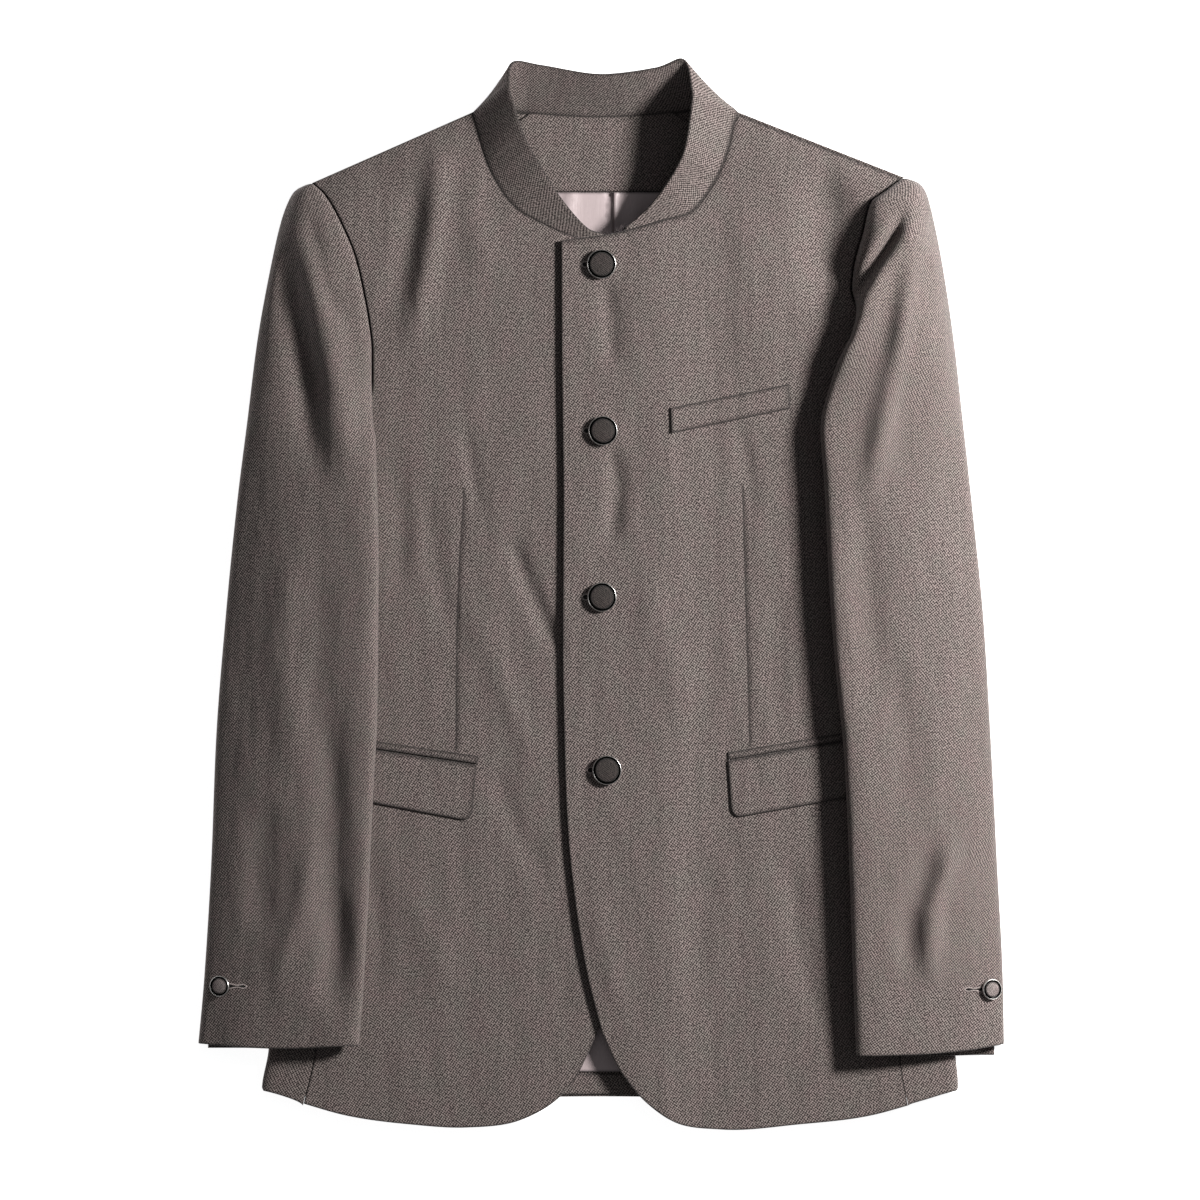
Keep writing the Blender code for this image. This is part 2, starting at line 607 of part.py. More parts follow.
def add_collar():
    """The stand collar, a band from the neck seam to its free edge, a little hollow at the back."""
    foot = 0.012

    def place(where, share):
        seam, edge = band_rows(np.clip(where, 0.0, 1.0))
        return seam + (edge - seam) * share[:, None]

    def inner(where, share):
        flat = np.stack([where, share], axis=-1)
        inwards = normals_of(place, flat)
        foot_share = 1.0 - ease(share / 0.25)
        level = inwards.copy()
        level[:, 1] = np.maximum(level[:, 1], 0.0)
        level /= np.linalg.norm(level, axis=1)[:, None]
        inwards = inwards * (1 - foot_share[:, None]) + level * foot_share[:, None]
        return place(where, share) + inwards * BAND_WALL

    rows = 2 * (len(BAND) - 1)
    where = np.linspace(0, 1, rows + 1)
    outline = closed_line(
        np.stack([where, np.full_like(where, foot)], axis=-1),
        [(1.0, 0.36), (1.0, 0.7)],
        np.stack([where[::-1], np.ones_like(where)], axis=-1),
        [(0.0, 0.7), (0.0, 0.36)],
        apart=1e-6,
    )
    add_panel("collar", outline, (1 / rows, 0.34), place, -1, inner=inner)


def side_rows(table, low, high, step):
    """Points on a side seam from high to low, at the y that both its pieces use."""
    y = np.linspace(high, low, round((high - low) / step) + 1)
    return np.stack([read(table, y), y], axis=-1)


def armhole_rows(table, low, high):
    """Points on an armhole between two heights. Every piece that meets there gets the same ones."""
    y = np.linspace(ARMPIT, max(row[0] for row in table), 400)
    x = read(table, y)
    along = np.concatenate([[0.0], np.cumsum(np.hypot(np.diff(x), np.diff(y)))])
    y = np.interp(np.arange(0.0, along[-1], ARMHOLE_STEP), along, y)
    y = y[(y >= low) & (y <= high)]
    return np.stack([read(table, y), y], axis=-1)


def add_fronts():
    """Both fronts, each from the neck round the shoulder, armhole, side seam, hem and front edge."""
    step = 13.0
    right_neck = neck_edge(0, RIGHT_NECK_ROW)
    right = closed_line(
        [(32.0, 262.0)],
        right_neck,
        line_through((RIGHT.neck, RIGHT.point), step),
        armhole_rows(RIGHT.armhole, FRONT_SEAM_TOP, RIGHT.point[1] - 0.5)[::-1],
        side_rows(RIGHT.front_seam, HEM + 1.5, FRONT_SEAM_TOP, 32.0),
        line_through(RIGHT_HEM, step),
        line_through(RIGHT_EDGE, 32.0),
    )
    left_neck = neck_edge(LEFT_NECK_ROW, len(BAND) - 1)[::-1]
    drop = np.array([0.4, -1.0]) * OVER_EDGE
    left = closed_line(
        [(-30.4, 264.8), (2.6, 269.3)],
        left_neck[:-1],
        line_through((np.array(LEFT.neck) + drop, np.array(LEFT.point) + drop), step),
        armhole_rows(LEFT.armhole, FRONT_SEAM_TOP, LEFT.point[1] - OVER_EDGE - 1)[::-1],
        side_rows(LEFT.front_seam, HEM, FRONT_SEAM_TOP, 32.0),
        line_through(LEFT_HEM, step),
        line_through(LEFT_EDGE, 32.0),
    )
    grid = (21.0, 29.0)
    add_panel("front_right", shrunk(right, SEAM / 2), grid, lying(body_height), 1)
    add_panel("front_left", shrunk(left, SEAM / 2), grid, lying(over_height), 1)


def rim_lines(side):
    """Lines along a shoulder seam on the back, between which it curves up to the seam."""
    neck, point = np.array(side.neck), np.array(side.point)
    run = (point - neck) / np.linalg.norm(point - neck)
    inwards = side.sign * np.array([-run[1], run[0]])
    lines = []
    for share in (0.34, 0.67, 1.0):
        far = share * RIM_SLOPE
        start = neck + inwards * far - run * (2.6 * far - 8.0)
        end = point + inwards * far - run * (8.0 + 0.2 * far)
        lines.append(line_through((start, end), 26.0))
    return lines


def add_back():
    """The back in one piece, its hem turned up inside, with its facing and lining on its inner face."""
    step = 14.0

    def wall(x, y):
        return np.where(y < HEM_TURN_UP, 2 * CLOTH, CLOTH)

    outline = closed_line(
        neck_edge(RIGHT_NECK_ROW, LEFT_NECK_ROW),
        line_through((LEFT.neck, LEFT.point), step),
        armhole_rows(LEFT.back_armhole, BACK_SEAM_TOP, LEFT.point[1] - 0.5)[::-1],
        side_rows(LEFT.back_seam, HEM, BACK_SEAM_TOP, 32.0),
        line_through(BACK_HEM[::-1], 30.0),
        side_rows(RIGHT.back_seam, HEM + 1.0, BACK_SEAM_TOP, 32.0)[::-1],
        armhole_rows(RIGHT.back_armhole, BACK_SEAM_TOP, RIGHT.point[1] - 0.5),
        line_through((RIGHT.point, RIGHT.neck), step),
    )
    creases = [line for side in SIDES.values() for line in rim_lines(side)]
    creases += [np.array([(x, HEM_TURN_UP + up) for x in (-190, -60, 70, 200)]) for up in (-0.2, 0.2)]
    add_panel("back", shrunk(outline, SEAM / 2), (42.0, 42.0), lying(back_height), -1, wall,
              creases=creases)

    above = CLOTH + SEAM
    neck = neck_edge(RIGHT_NECK_ROW + 2, LEFT_NECK_ROW - 2) - (0.0, 0.8)
    facing = closed_line(neck, [(86, 343), (104, 334), (90, 310), (66, FACING_BOTTOM)],
                         line_through(((66, FACING_BOTTOM), (-60, FACING_BOTTOM)), 20.0),
                         [(-84, 310), (-98, 334), (-80, 343)])
    add_panel("back_neck_facing", shrunk(facing, SEAM / 2), (20.0, 20.0),
              lying(back_height, above), -1, 1.2)

    def pleat(x, y):
        lifted = PLEAT_HEIGHT * np.exp(-(((x - PLEAT_X) / 2.5) ** 2)) * ease((y - PLEAT_END) / 120.0)
        return back_height(x, y) + above + lifted

    rows = np.linspace(FACING_BOTTOM - 1.0, PLEAT_END, 6)
    edge = [np.array([(PLEAT_X + side, y) for y in rows]) for side in (-6.0, 0.0, 6.0)]
    top = line_through((LINING_OUTLINE[0], LINING_OUTLINE[-1]), 21.0)
    lining = closed_line(top, LINING_OUTLINE[-2:0:-1])
    add_panel("back_lining", shrunk(lining, SEAM / 2), (40.0, 40.0), lying(pleat), -1, LINING_WALL,
              "lining", creases=edge)


def add_side_panels():
    """The panel round each side of the body, between the front seam and the back seam."""
    for name, side in SIDES.items():
        front = side_rows(side.front_seam, HEM, FRONT_SEAM_TOP - 2.0, 32.0)[:, 1]
        back = side_rows(side.back_seam, HEM, BACK_SEAM_TOP - 3.0, 32.0)[::-1, 1]
        shares = np.linspace(0, 1, 9)
        hem_line = HEM + HEM_RISE * np.sin(np.pi * shares) ** 2
        outline = closed_line(
            at_share(0.0, front),
            np.stack([shares, hem_line], axis=-1)[1:-1],
            at_share(1.0, back),
            np.stack([shares, read(SIDE_TOP, shares)], axis=-1)[::-1][1:-1],
            apart=1e-6,
        )
        add_panel(f"side_panel_{name}", outline, (0.125, 44.0), side_path(side), -side.sign)


def at_share(share, y):
    """Points of one share of a surface's width, down a row of heights."""
    return np.stack([np.full_like(y, share), y], axis=-1)


def add_sleeves():
    """Top and under sleeve of each side, with the hind seam on the underside."""
    for name, side in SIDES.items():
        sleeve = Sleeve(side)
        columns = 14
        low = min(y for _, y in side.cuff)
        high = side.point[1] - OVER_EDGE
        cap = np.append(armhole_rows(side.armhole, side.pitch, high - 2.0)[:, 1], high)
        down = np.linspace(low, side.pitch, 17)[:-1]
        shares = np.linspace(0, 1, columns + 1)
        cuff_x = sleeve.top(shares, np.full_like(shares, low))[:, 0]
        hind = np.linspace(low, high, 22)[1:-1]
        top = closed_line(
            at_share(1.0, np.concatenate([down, cap])[::-1]),
            np.stack([shares, read(side.cuff, cuff_x)], axis=-1)[-2:0:-1],
            at_share(0.0, np.concatenate([[low], hind])),
            np.stack([shares, np.full_like(shares, high)], axis=-1)[:-1],
            apart=1e-6,
        )
        add_panel(f"top_sleeve_{name}", top, (1 / columns, 33.0), sleeve.top, side.sign)

        high -= 3.0
        low -= 0.5
        front = down[(down > low + 5.0) & (down < side.lobe - 5.0)]
        back_rows = armhole_rows(side.back_armhole, ARMPIT + 1, high - 2.0)[:, 1]
        front_rows = armhole_rows(side.armhole, ARMPIT + 1, side.lobe - 2.0)[:, 1]
        hem_shares = np.array([0.25, 1 - NOTCH, 0.48, 0.52, NOTCH, 0.77])
        under = closed_line(
            at_share(0.0, np.concatenate([[low], front, [side.lobe]])[::-1]),
            np.stack([hem_shares, np.full_like(hem_shares, low)], axis=-1),
            at_share(1.0, np.concatenate([[low], hind[hind < high - 2.0], [high]])),
            at_share(NOTCH, np.append(back_rows, high)[::-1]),
            [(0.5, ARMPIT)],
            at_share(1 - NOTCH, np.append(front_rows, side.lobe)),
            apart=1e-6,
        )
        shares = np.array([0.3, 0.39, 1 - NOTCH, 0.5, NOTCH, 0.61, 0.7])
        rows = [np.full_like(shares, ARMPIT - far) for far in (6.0, 20.0)]
        add_panel(f"under_sleeve_{name}", under, (0.16, 36.0), sleeve.under, side.sign,
                  creases=[np.stack([shares, row], axis=-1) for row in rows])


def add_pockets():
    """Breast welt, hip jets and hip flaps, laid on the fronts."""

    def lay(name, corners, height, wall):
        step = 18.0
        edges = [line_through((a, b), step)[:-1] for a, b in zip(corners, corners[1:] + corners[:1])]
        outline = shrunk(closed_line(*edges), SEAM / 2)
        add_panel(name, outline, (step, step), lying(height, SEAM + wall), 1, wall)

    lay("breast_welt", BREAST_WELT, over_height, CLOTH)
    for name, height in (("right", body_height), ("left", over_height)):
        lay(f"pocket_jet_{name}", POCKET_JETS[name], height, JET_WALL)
        lay(f"pocket_flap_{name}", POCKET_FLAPS[name], height, CLOTH)


def add_button(name, radius, base, normal):
    """A covered button: a metal rim on its shank, and a cloth face set in the rim."""
    lip = radius - 1.4
    under, floor = 1.2, 2.6
    rim = ((0, SEAM), (2.5, SEAM), (2.5, under), (radius - 0.5, under), (radius, 3.4), (lip, 4.2),
           (lip, floor), (0, floor))
    add_turned(f"{name}_rim", rim, BUTTON_SIDES, base, normal, "button rim")
    face = ((0, floor + SEAM), (lip - SEAM, floor + SEAM), (lip - SEAM, 3.9), (0, 4.8))
    add_turned(f"{name}_cover", face, BUTTON_SIDES, base, normal, "button face")


def add_buttons():
    """Four front buttons and one at each cuff, each square to the cloth under it."""
    for number, (x, y) in enumerate(FRONT_BUTTONS, 1):
        spot = np.array([[x, y]])
        base = lying(over_height)(*spot.T)[0]
        add_button(f"front_button_{number}", FRONT_BUTTON, base, normals_of_spot(lying(over_height), spot))
    for name, (x, y) in SLEEVE_BUTTONS.items():
        sleeve = Sleeve(SIDES[name])
        shares = np.linspace(0.2, 0.6, 400)
        found = sleeve.top(shares, np.full(400, y))
        nearest = int(np.argmin(np.abs(found[:, 0] - x)))
        spot = np.array([[shares[nearest], y]])
        normal = normals_of_spot(sleeve.top, spot) * sleeve.side.sign
        add_button(f"sleeve_button_{name}", SLEEVE_BUTTON, found[nearest], normal)


def normals_of_spot(place, spot):
    """Unit normal of a surface at one of its own coordinates."""
    around = np.concatenate([spot, spot + (0.01, 1.0)])
    return normals_of(place, around)[0]


def main():
    """Clears the scene and makes every piece."""
    for old in list(bpy.data.objects):
        bpy.data.objects.remove(old)
    add_back()
    add_side_panels()
    add_fronts()
    add_sleeves()
    add_collar()
    add_pockets()
    add_buttons()


main()
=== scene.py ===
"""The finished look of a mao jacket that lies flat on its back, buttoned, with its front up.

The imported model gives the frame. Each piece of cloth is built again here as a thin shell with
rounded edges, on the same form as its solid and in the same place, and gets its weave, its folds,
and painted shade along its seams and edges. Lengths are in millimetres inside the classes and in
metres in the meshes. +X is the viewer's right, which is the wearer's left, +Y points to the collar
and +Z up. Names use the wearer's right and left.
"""

import logging
import math
from collections.abc import Callable, Sequence
from dataclasses import dataclass, field, replace
from enum import Enum

import bpy
import numpy as np
from mathutils import Matrix, Vector
from mathutils.geometry import delaunay_2d_cdt


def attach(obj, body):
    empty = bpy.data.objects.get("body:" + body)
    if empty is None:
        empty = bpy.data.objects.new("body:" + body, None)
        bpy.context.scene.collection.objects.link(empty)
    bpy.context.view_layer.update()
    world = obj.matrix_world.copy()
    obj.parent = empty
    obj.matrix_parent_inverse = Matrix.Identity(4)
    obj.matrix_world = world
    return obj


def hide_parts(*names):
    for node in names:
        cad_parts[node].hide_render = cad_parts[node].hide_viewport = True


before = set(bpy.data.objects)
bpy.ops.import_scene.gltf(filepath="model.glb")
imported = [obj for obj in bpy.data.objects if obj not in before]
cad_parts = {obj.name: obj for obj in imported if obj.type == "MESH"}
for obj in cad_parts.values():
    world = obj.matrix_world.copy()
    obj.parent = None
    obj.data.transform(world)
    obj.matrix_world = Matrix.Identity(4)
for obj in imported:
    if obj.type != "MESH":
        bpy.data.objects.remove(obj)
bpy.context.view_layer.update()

LOG = logging.getLogger("mao_jacket")
Array = np.ndarray
Surface = Callable[[Array, Array], Array]
Socket = bpy.types.NodeSocket

MM = 0.001
MIDDLE = np.array((-0.2, -0.8, 0.0))  # middle of the outline, which the meshes take as their origin
CLOTH = 1.5  # wall of a panel
SEAM = 0.3  # gap between two pieces sewn together
LINING_WALL = 1.0
JET_WALL = 1.1
BAND_WALL = 2.4
LAP = 4.2  # how far the over front stands above the under front
LAP_FLAT = 42.0  # x up to which it stands that high
LAP_FADE = 45.0  # width over which it comes down again
CENTRE = 1.5  # x of the centre front
HEM = -384.0  # y of the hem at the side seams
HEM_RISE = 11.0  # how far it curves up between them, at the side fold
FACING_BOTTOM = 302.0  # y where the back neck facing meets the lining
ARMPIT = 88.0  # y of the armhole's lowest point, on the side fold
FRONT_SEAM_TOP = 97.0  # y where the side panel's two seams reach the armhole
BACK_SEAM_TOP = 108.0
SHOULDER_SLOPE = 40.0  # width over which a front comes down to its shoulder seam
RIM_SLOPE = 16.0  # width over which the back rises to it
RIM_AT_NECK = 10.4  # height of the back's lower face at the two ends of the shoulder seam
RIM_AT_POINT = 6.4
SIDE_TAPER = 60.0  # width over which the body thins towards its side folds
SIDE_THINNING = 0.24
HIND_SEAM = 6.0  # distance of the sleeve's hind seam from its outer fold, on the underside
UNDER_SEAM = 22.0  # the same of the front seam from the inner fold
OVER_FLAPS = 3.3  # sleeve's underside above the body, where the pocket flaps lie between
OVER_CLOTH = 1.1  # and where nothing does
NOTCH = 0.55  # share of the under sleeve's width at which its back lobe starts
OVER_EDGE = 3.0  # strip of the back that shows behind the left shoulder seam


def ease(share: Array) -> Array:
    """Goes smoothly from 0 to 1."""
    share = np.clip(share, 0.0, 1.0)
    return share * share * (3.0 - 2.0 * share)


def crown(share: Array) -> Array:
    """Goes from 0 to 1, steep at first and level at the end."""
    return 1.0 - (1.0 - np.clip(share, 0.0, 1.0)) ** 2


def bell(far: Array, width: float) -> Array:
    """A rounded bump of height 1 that fades out at about twice its width."""
    return np.exp(-((far / width) ** 2))


def hermite(values: Array, slopes: Array, i: Array, t: Array, width: Array | float = 1.0) -> Array:
    """A cubic curve between two neighbouring values.

    Args:
        values: The values that it passes through.
        slopes: Its slope at each of them.
        i: The value before each place.
        t: The share of the way from there to the next.
        width: Distance between the two.

    Returns:
        The curve's value at each place.
    """
    start = values[i] * (1 + 2 * t) * (1 - t) ** 2 + slopes[i] * width * t * (1 - t) ** 2
    end = values[i + 1] * t * t * (3 - 2 * t) + slopes[i + 1] * width * t * t * (t - 1)
    return start + end


@dataclass(frozen=True)
class Profile:
    """A smooth curve through a table of keys and values that doesn't overshoot."""

    rows: tuple[tuple[float, float], ...]

    def __call__(self, key: Array | float) -> Array:
        """Reads the curve.

        Args:
            key: Where to read it. Past its ends it keeps its last value.

        Returns:
            The value at each key.
        """
        table = np.array(self.rows, float)
        keys, values = table[np.argsort(table[:, 0])].T
        steps = np.diff(values) / np.diff(keys)
        turn = steps[:-1] * steps[1:]
        middle = np.where(turn > 0, 2 * turn / np.where(turn > 0, steps[:-1] + steps[1:], 1), 0.0)
        slopes = np.concatenate([steps[:1], middle, steps[-1:]])
        key = np.clip(key, keys[0], keys[-1])
        i = np.clip(np.searchsorted(keys, key) - 1, 0, len(keys) - 2)
        width = keys[i + 1] - keys[i]
        t = (key - keys[i]) / width
        return hermite(values, slopes, i, t, width)

    def seam_points(self, high: float, low: float, step: float) -> Array:
        """Points (value, key) down the curve, about a step apart."""
        keys = np.linspace(high, low, max(2, round(abs(high - low) / step) + 1))
        return np.stack([self(keys), keys], axis=-1)


def line_through(points: Sequence, step: float) -> Array:
    """Points on a smooth line.

    Args:
        points: The points that it passes through, in any number of axes.
        step: About how far apart its own points are.

    Returns:
        One row a point.
    """
    points = np.array(points, float)
    along = np.concatenate([[0.0], np.cumsum(np.linalg.norm(np.diff(points, axis=0), axis=1))])
    at = np.linspace(0.0, along[-1], max(2, round(along[-1] / step) + 1))
    slopes = np.gradient(points, along, axis=0, edge_order=1)
    i = np.clip(np.searchsorted(along, at) - 1, 0, len(along) - 2)
    width = (along[i + 1] - along[i])[:, None]
    t = (at[:, None] - along[i][:, None]) / width
    return hermite(points, slopes, i, t, width)


def to_line(path: Sequence, x: Array, y: Array) -> tuple[Array, Array, Array]:
    """Distance of points from a line.

    Args:
        path: The line's own points, x and y.
        x: x of each point.
        y: y of each point.

    Returns:
        The distance, the share of the line where it is nearest, and the side: 1 to its left.
    """
    path = np.array(path, float)
    lengths = np.linalg.norm(np.diff(path, axis=0), axis=1)
    starts = np.concatenate([[0.0], np.cumsum(lengths)])
    best = np.full(np.shape(x), np.inf)
    share = np.zeros(np.shape(x))
    side = np.ones(np.shape(x))
    for k, (a, b) in enumerate(zip(path[:-1], path[1:])):
        run = b - a
        t = np.clip(((x - a[0]) * run[0] + (y - a[1]) * run[1]) / lengths[k] ** 2, 0, 1)
        far = np.hypot(x - a[0] - t * run[0], y - a[1] - t * run[1])
        nearer = far < best
        best = np.where(nearer, far, best)
        share = np.where(nearer, (starts[k] + t * lengths[k]) / starts[-1], share)
        side = np.where(nearer, np.sign(run[0] * (y - a[1]) - run[1] * (x - a[0])), side)
    return best, share, side


@dataclass(frozen=True)
class Fold:
    """A soft trough, or a ridge if its depth is negative, along a line seen from above."""

    path: tuple[tuple[float, float], ...]
    width: float
    depth: float
    steepness: float = 1.0  # how much narrower it is on the left of its line

    def height(self, x: Array, y: Array) -> Array:
        """Height that it adds at each point.

        Args:
            x: x of each point.
            y: y of each point.

        Returns:
            The height, which fades out at both ends of the line.
        """
        far, share, side = to_line(self.path, x, y)
        width = np.where(side > 0, self.width / self.steepness, self.width)
        fade = ease(np.minimum(share, 1 - share) / 0.3)
        return -self.depth * fade * np.exp(-((far / width) ** 2))


def folded(folds: Sequence[Fold], x: Array, y: Array) -> Array:
    """Height that all the folds add at each point.

    Args:
        folds: The folds, which may cross.
        x: x of each point.
        y: y of each point.

    Returns:
        The height at each point.
    """
    height = np.zeros(np.shape(x))
    for fold in folds:
        height = height + fold.height(x, y)
    return height


@dataclass(frozen=True)
class Side:
    """One side of the jacket, seen from above. Profiles give x at each y unless they say more."""

    name: str
    sign: float  # the way from this side's silhouette to the centre
    neck: tuple[float, float]  # shoulder seam's two ends
    point: tuple[float, float]
    armhole: Profile
    back_armhole: Profile
    side_fold: Profile
    front_seam: Profile
    back_seam: Profile
    outer: Profile  # the sleeve's outer fold
    inner: Profile  # the sleeve's inner fold, below the pitch
    lift: Profile  # how far the inner fold stands above the body at each y
    cuff: Profile  # y of the sleeve's hem at each x
    pitch: float  # y below which the sleeve folds over its armhole seam
    lobe: float  # y of the top of the under sleeve's front lobe


RIGHT = Side(
    name="right",
    sign=1.0,
    neck=(-95.6, 362.0),
    point=(-217.5, 308.5),
    armhole=Profile(((310, -218.5), (300, -207.4), (278, -194.6), (253, -184.1), (228, -178.1),
                     (203, -173.6), (182, -171.4), (158, -171.4), (138, -177), (115, -190), (97, -215),
                     (91, -237), (88, -250))),
    back_armhole=Profile(((310, -218.5), (290, -205), (260, -196), (220, -192), (180, -193),
                          (140, -199), (108, -212), (93, -237), (88, -250))),
    side_fold=Profile(((-384, -254.6), (-372, -254.6), (-342, -249.6), (-200, -243), (-30, -238),
                       (60, -246), (88, -250), (120, -252))),
    front_seam=Profile(((-384, -224), (-343, -215), (-200, -205), (-30, -201), (60, -208), (97, -215))),
    back_seam=Profile(((-384, -203), (-200, -193), (-30, -188), (60, -198), (108, -212))),
    outer=Profile(((-340, -302), (-290, -297.5), (-200, -292), (-110, -288.5), (-20, -281.5),
                   (70, -272.5), (130, -265), (190, -257.5), (250, -246.5), (280, -239.5),
                   (295, -234), (303, -229), (308, -219.5))),
    inner=Profile(((-340, -182.6), (-293, -178.9), (-158, -172.1), (-80, -168.4), (25, -167.6),
                   (118, -169.9), (158, -171.4))),
    lift=Profile(((-340, 17), (-250, 19), (-100, 21), (50, 20), (110, 14), (158, 5.5), (230, 4.5),
                  (308, 3))),
    cuff=Profile(((-302, -337.5), (-245, -340.5), (-182, -338))),
    pitch=158.0,
    lobe=130.0,
)
LEFT = Side(
    name="left",
    sign=-1.0,
    neck=(101.6, 362.0),
    point=(228.0, 312.5),
    armhole=Profile(((314, 227.5), (301, 210.4), (294, 201.4), (271, 195.4), (245, 188.6), (228, 187),
                     (213, 192), (200, 194), (180, 194), (150, 197), (120, 206), (97, 226), (91, 245),
                     (88, 258))),
    back_armhole=Profile(((314, 227.5), (292, 214), (260, 205), (220, 201), (180, 202), (140, 208),
                          (108, 221), (93, 245), (88, 258))),
    side_fold=Profile(((-384, 267.4), (-368, 267.4), (-342, 265), (-200, 258), (-30, 250), (60, 255),
                       (88, 258), (120, 260))),
    front_seam=Profile(((-384, 230), (-352, 224.6), (-200, 216), (-30, 211), (60, 219), (97, 226))),
    back_seam=Profile(((-384, 216), (-200, 206), (-30, 200), (60, 208), (108, 221))),
    outer=Profile(((-345, 301.5), (-290, 300.5), (-200, 296), (-110, 291.4), (-20, 286), (70, 277),
                   (130, 270.4), (190, 263.6), (250, 254.6), (280, 248.6), (295, 245), (303, 242),
                   (309, 237), (312, 229.5))),
    inner=Profile(((-346, 191.6), (-293, 189.4), (-207, 186.4), (-125, 182.6), (-62, 176.6),
                   (3, 171.4), (80, 167.6), (124, 164.6), (160, 173), (178, 179), (196, 186.5),
                   (213, 190), (228, 187))),
    lift=Profile(((-345, 18), (-250, 21), (-100, 22), (60, 22), (120, 21.5), (180, 20.5), (228, 19.5),
                  (262, 18), (296, 9.5), (312, 3.5))),
    cuff=Profile(((191, -345.8), (236, -345), (275, -342), (302, -338))),
    pitch=228.0,
    lobe=186.0,
)
SIDES = (RIGHT, LEFT)

# Height of the fronts' outer face at each y.
THICKNESS = Profile(((-405, 10.5), (-300, 11), (-150, 12.5), (0, 14), (120, 17), (230, 18.5),
                     (300, 18), (400, 17)))

# The stand collar from the right front's end round the back to the left front's end. A row is a
# bone of the band: x, y on the neck seam, and x, y, z on the free edge.
BAND = (
    (0.0, 266.0, 2.0, 269.6, 17.5),
    (-20.0, 267.8, -10.0, 273.0, 22.0),
    (-46.0, 279.0, -26.6, 291.0, 25.5),
    (-66.4, 291.8, -40.9, 312.0, 29.5),
    (-83.6, 318.0, -57.4, 341.3, 34.5),
    (-94.1, 350.3, -67.9, 372.0, 38.0),
    (-95.6, 362.0, -69.8, 382.5, 37.0),
    (-83.0, 367.5, -66.6, 398.6, 31.0),
    (-53.6, 362.5, -44.0, 396.3, 26.5),
    (0.0, 359.5, -1.0, 389.8, 25.0),
    (54.0, 363.0, 40.0, 394.5, 27.0),
    (88.0, 368.0, 61.5, 400.5, 32.5),
    (101.6, 362.0, 67.5, 378.0, 37.0),
    (98.6, 351.0, 67.5, 366.0, 37.5),
    (94.0, 331.5, 63.5, 338.0, 36.5),
    (85.1, 310.5, 58.1, 322.5, 33.5),
    (67.9, 287.3, 46.1, 303.0, 28.5),
    (44.6, 279.8, 33.4, 287.5, 25.0),
    (17.0, 272.0, 19.5, 275.2, 22.5),
)
RIGHT_NECK_ROW = 6
LEFT_NECK_ROW = 12

BODY_FOLDS = (
    Fold(((-118, 362), (-127, 272), (-145, 174)), 10, -5.4),
    Fold(((170, 338), (165, 273), (170, 200)), 17, 7.2),
    Fold(((-157, 127), (-151, 56), (-150, -12)), 9, 1.7),
    Fold(((-135, 100), (-123, 18), (-110, -50)), 8, 1.4),
    Fold(((-105, 134), (-96, 86), (-90, 48)), 6, 1.8),
    Fold(((-72, 52), (-51, -3), (-30, -50)), 7, 3.4),
    Fold(((-99, 3), (-76, -64), (-46, -136)), 10, -1.6),
    Fold(((-85, -121), (-63, -177), (-40, -222)), 9, 1.6),
    Fold(((-171, -184), (-166, -260), (-171, -320)), 8, 1.8),
    Fold(((-151, -207), (-132, -252), (-108, -312)), 12, -1.5),
    Fold(((-91, 333), (-99, 288), (-82, 228)), 12, -1.6),
    Fold(((2, 243), (7, 204), (8, 164)), 7, 3.2),
    Fold(((6, 118), (12, 81), (5, 28)), 7, 3.8),
    Fold(((108, 303), (116, 220), (128, 153)), 17, -1.8),
    Fold(((29, 26), (45, -34), (69, -102)), 13, -1.6),
    Fold(((105, 130), (110, 93), (114, 48)), 6, 1.4),
    Fold(((140, -184), (149, -260), (162, -334)), 9, 2.2),
    Fold(((66, -170), (75, -230), (66, -304)), 12, 1.6),
    Fold(((-7, -222), (2, -274), (18, -320)), 8, -1.2),
    Fold(((126, 26), (132, -34), (128, -94)), 10, 1.5),
    Fold(((-133, 318), (-144, 268), (-152, 201)), 11, 3.0),
    Fold(((180, 312), (184, 255), (186, 205)), 16, 4.0),
)
SLEEVE_FOLDS = (
    Fold(((-229, 292), (-214, 220), (-199, 149), (-187, 70)), 15, -8.0),
    Fold(((-244, 284), (-235, 213), (-223, 146), (-207, 70)), 11, 4.2),
    Fold(((-207, -50), (-200, -192), (-198, -334)), 12, 5.4),
    Fold(((-213, -177), (-226, -237), (-250, -304)), 8, -2.8),
    Fold(((-232, 56), (-241, -42), (-228, -147)), 12, -2.8),
    Fold(((-213, 26), (-208, -34), (-213, -94)), 9, 2.0),
    Fold(((235, 296), (223, 266), (209, 244), (194, 219), (183, 187), (177, 157)), 3.4, -9.0, 0.25),
    Fold(((239, 298), (230, 243), (222, 190), (210, 123), (197, 56)), 8.5, -8.4),
    Fold(((269, -173), (246, -238), (245, -301)), 8, -6.8),
    Fold(((254, -170), (228, -233), (228, -293)), 8, 2.8),
    Fold(((216, -34), (228, -110), (222, -177)), 12, 2.2),
    Fold(((194, 93), (198, 10), (209, -72)), 9, 2.0),
    Fold(((219, 288), (205, 258), (195, 226)), 9, -3.4),
    Fold(((230, 290), (215, 261), (200, 237), (183, 208)), 5, 5.6),
    Fold(((-220, 290), (-209, 234), (-192, 196)), 6.5, 3.2),
    Fold(((-232, 278), (-225, 222), (-210, 118)), 11, 5.0),
    Fold(((-250, -150), (-256, -215), (-258, -262)), 13, 3.2),
    Fold(((-196, -215), (-200, -270), (-206, -318)), 12, 3.0),
    Fold(((228, 282), (212, 257), (186, 229)), 6.0, 5.0),
    Fold(((233, 297), (227, 243), (218, 199), (212, 115)), 10, 3.2),
    Fold(((258, -186), (236, -238), (228, -285)), 10, 3.4),
    Fold(((196, 90), (200, -20), (206, -120)), 16, 2.2),
)
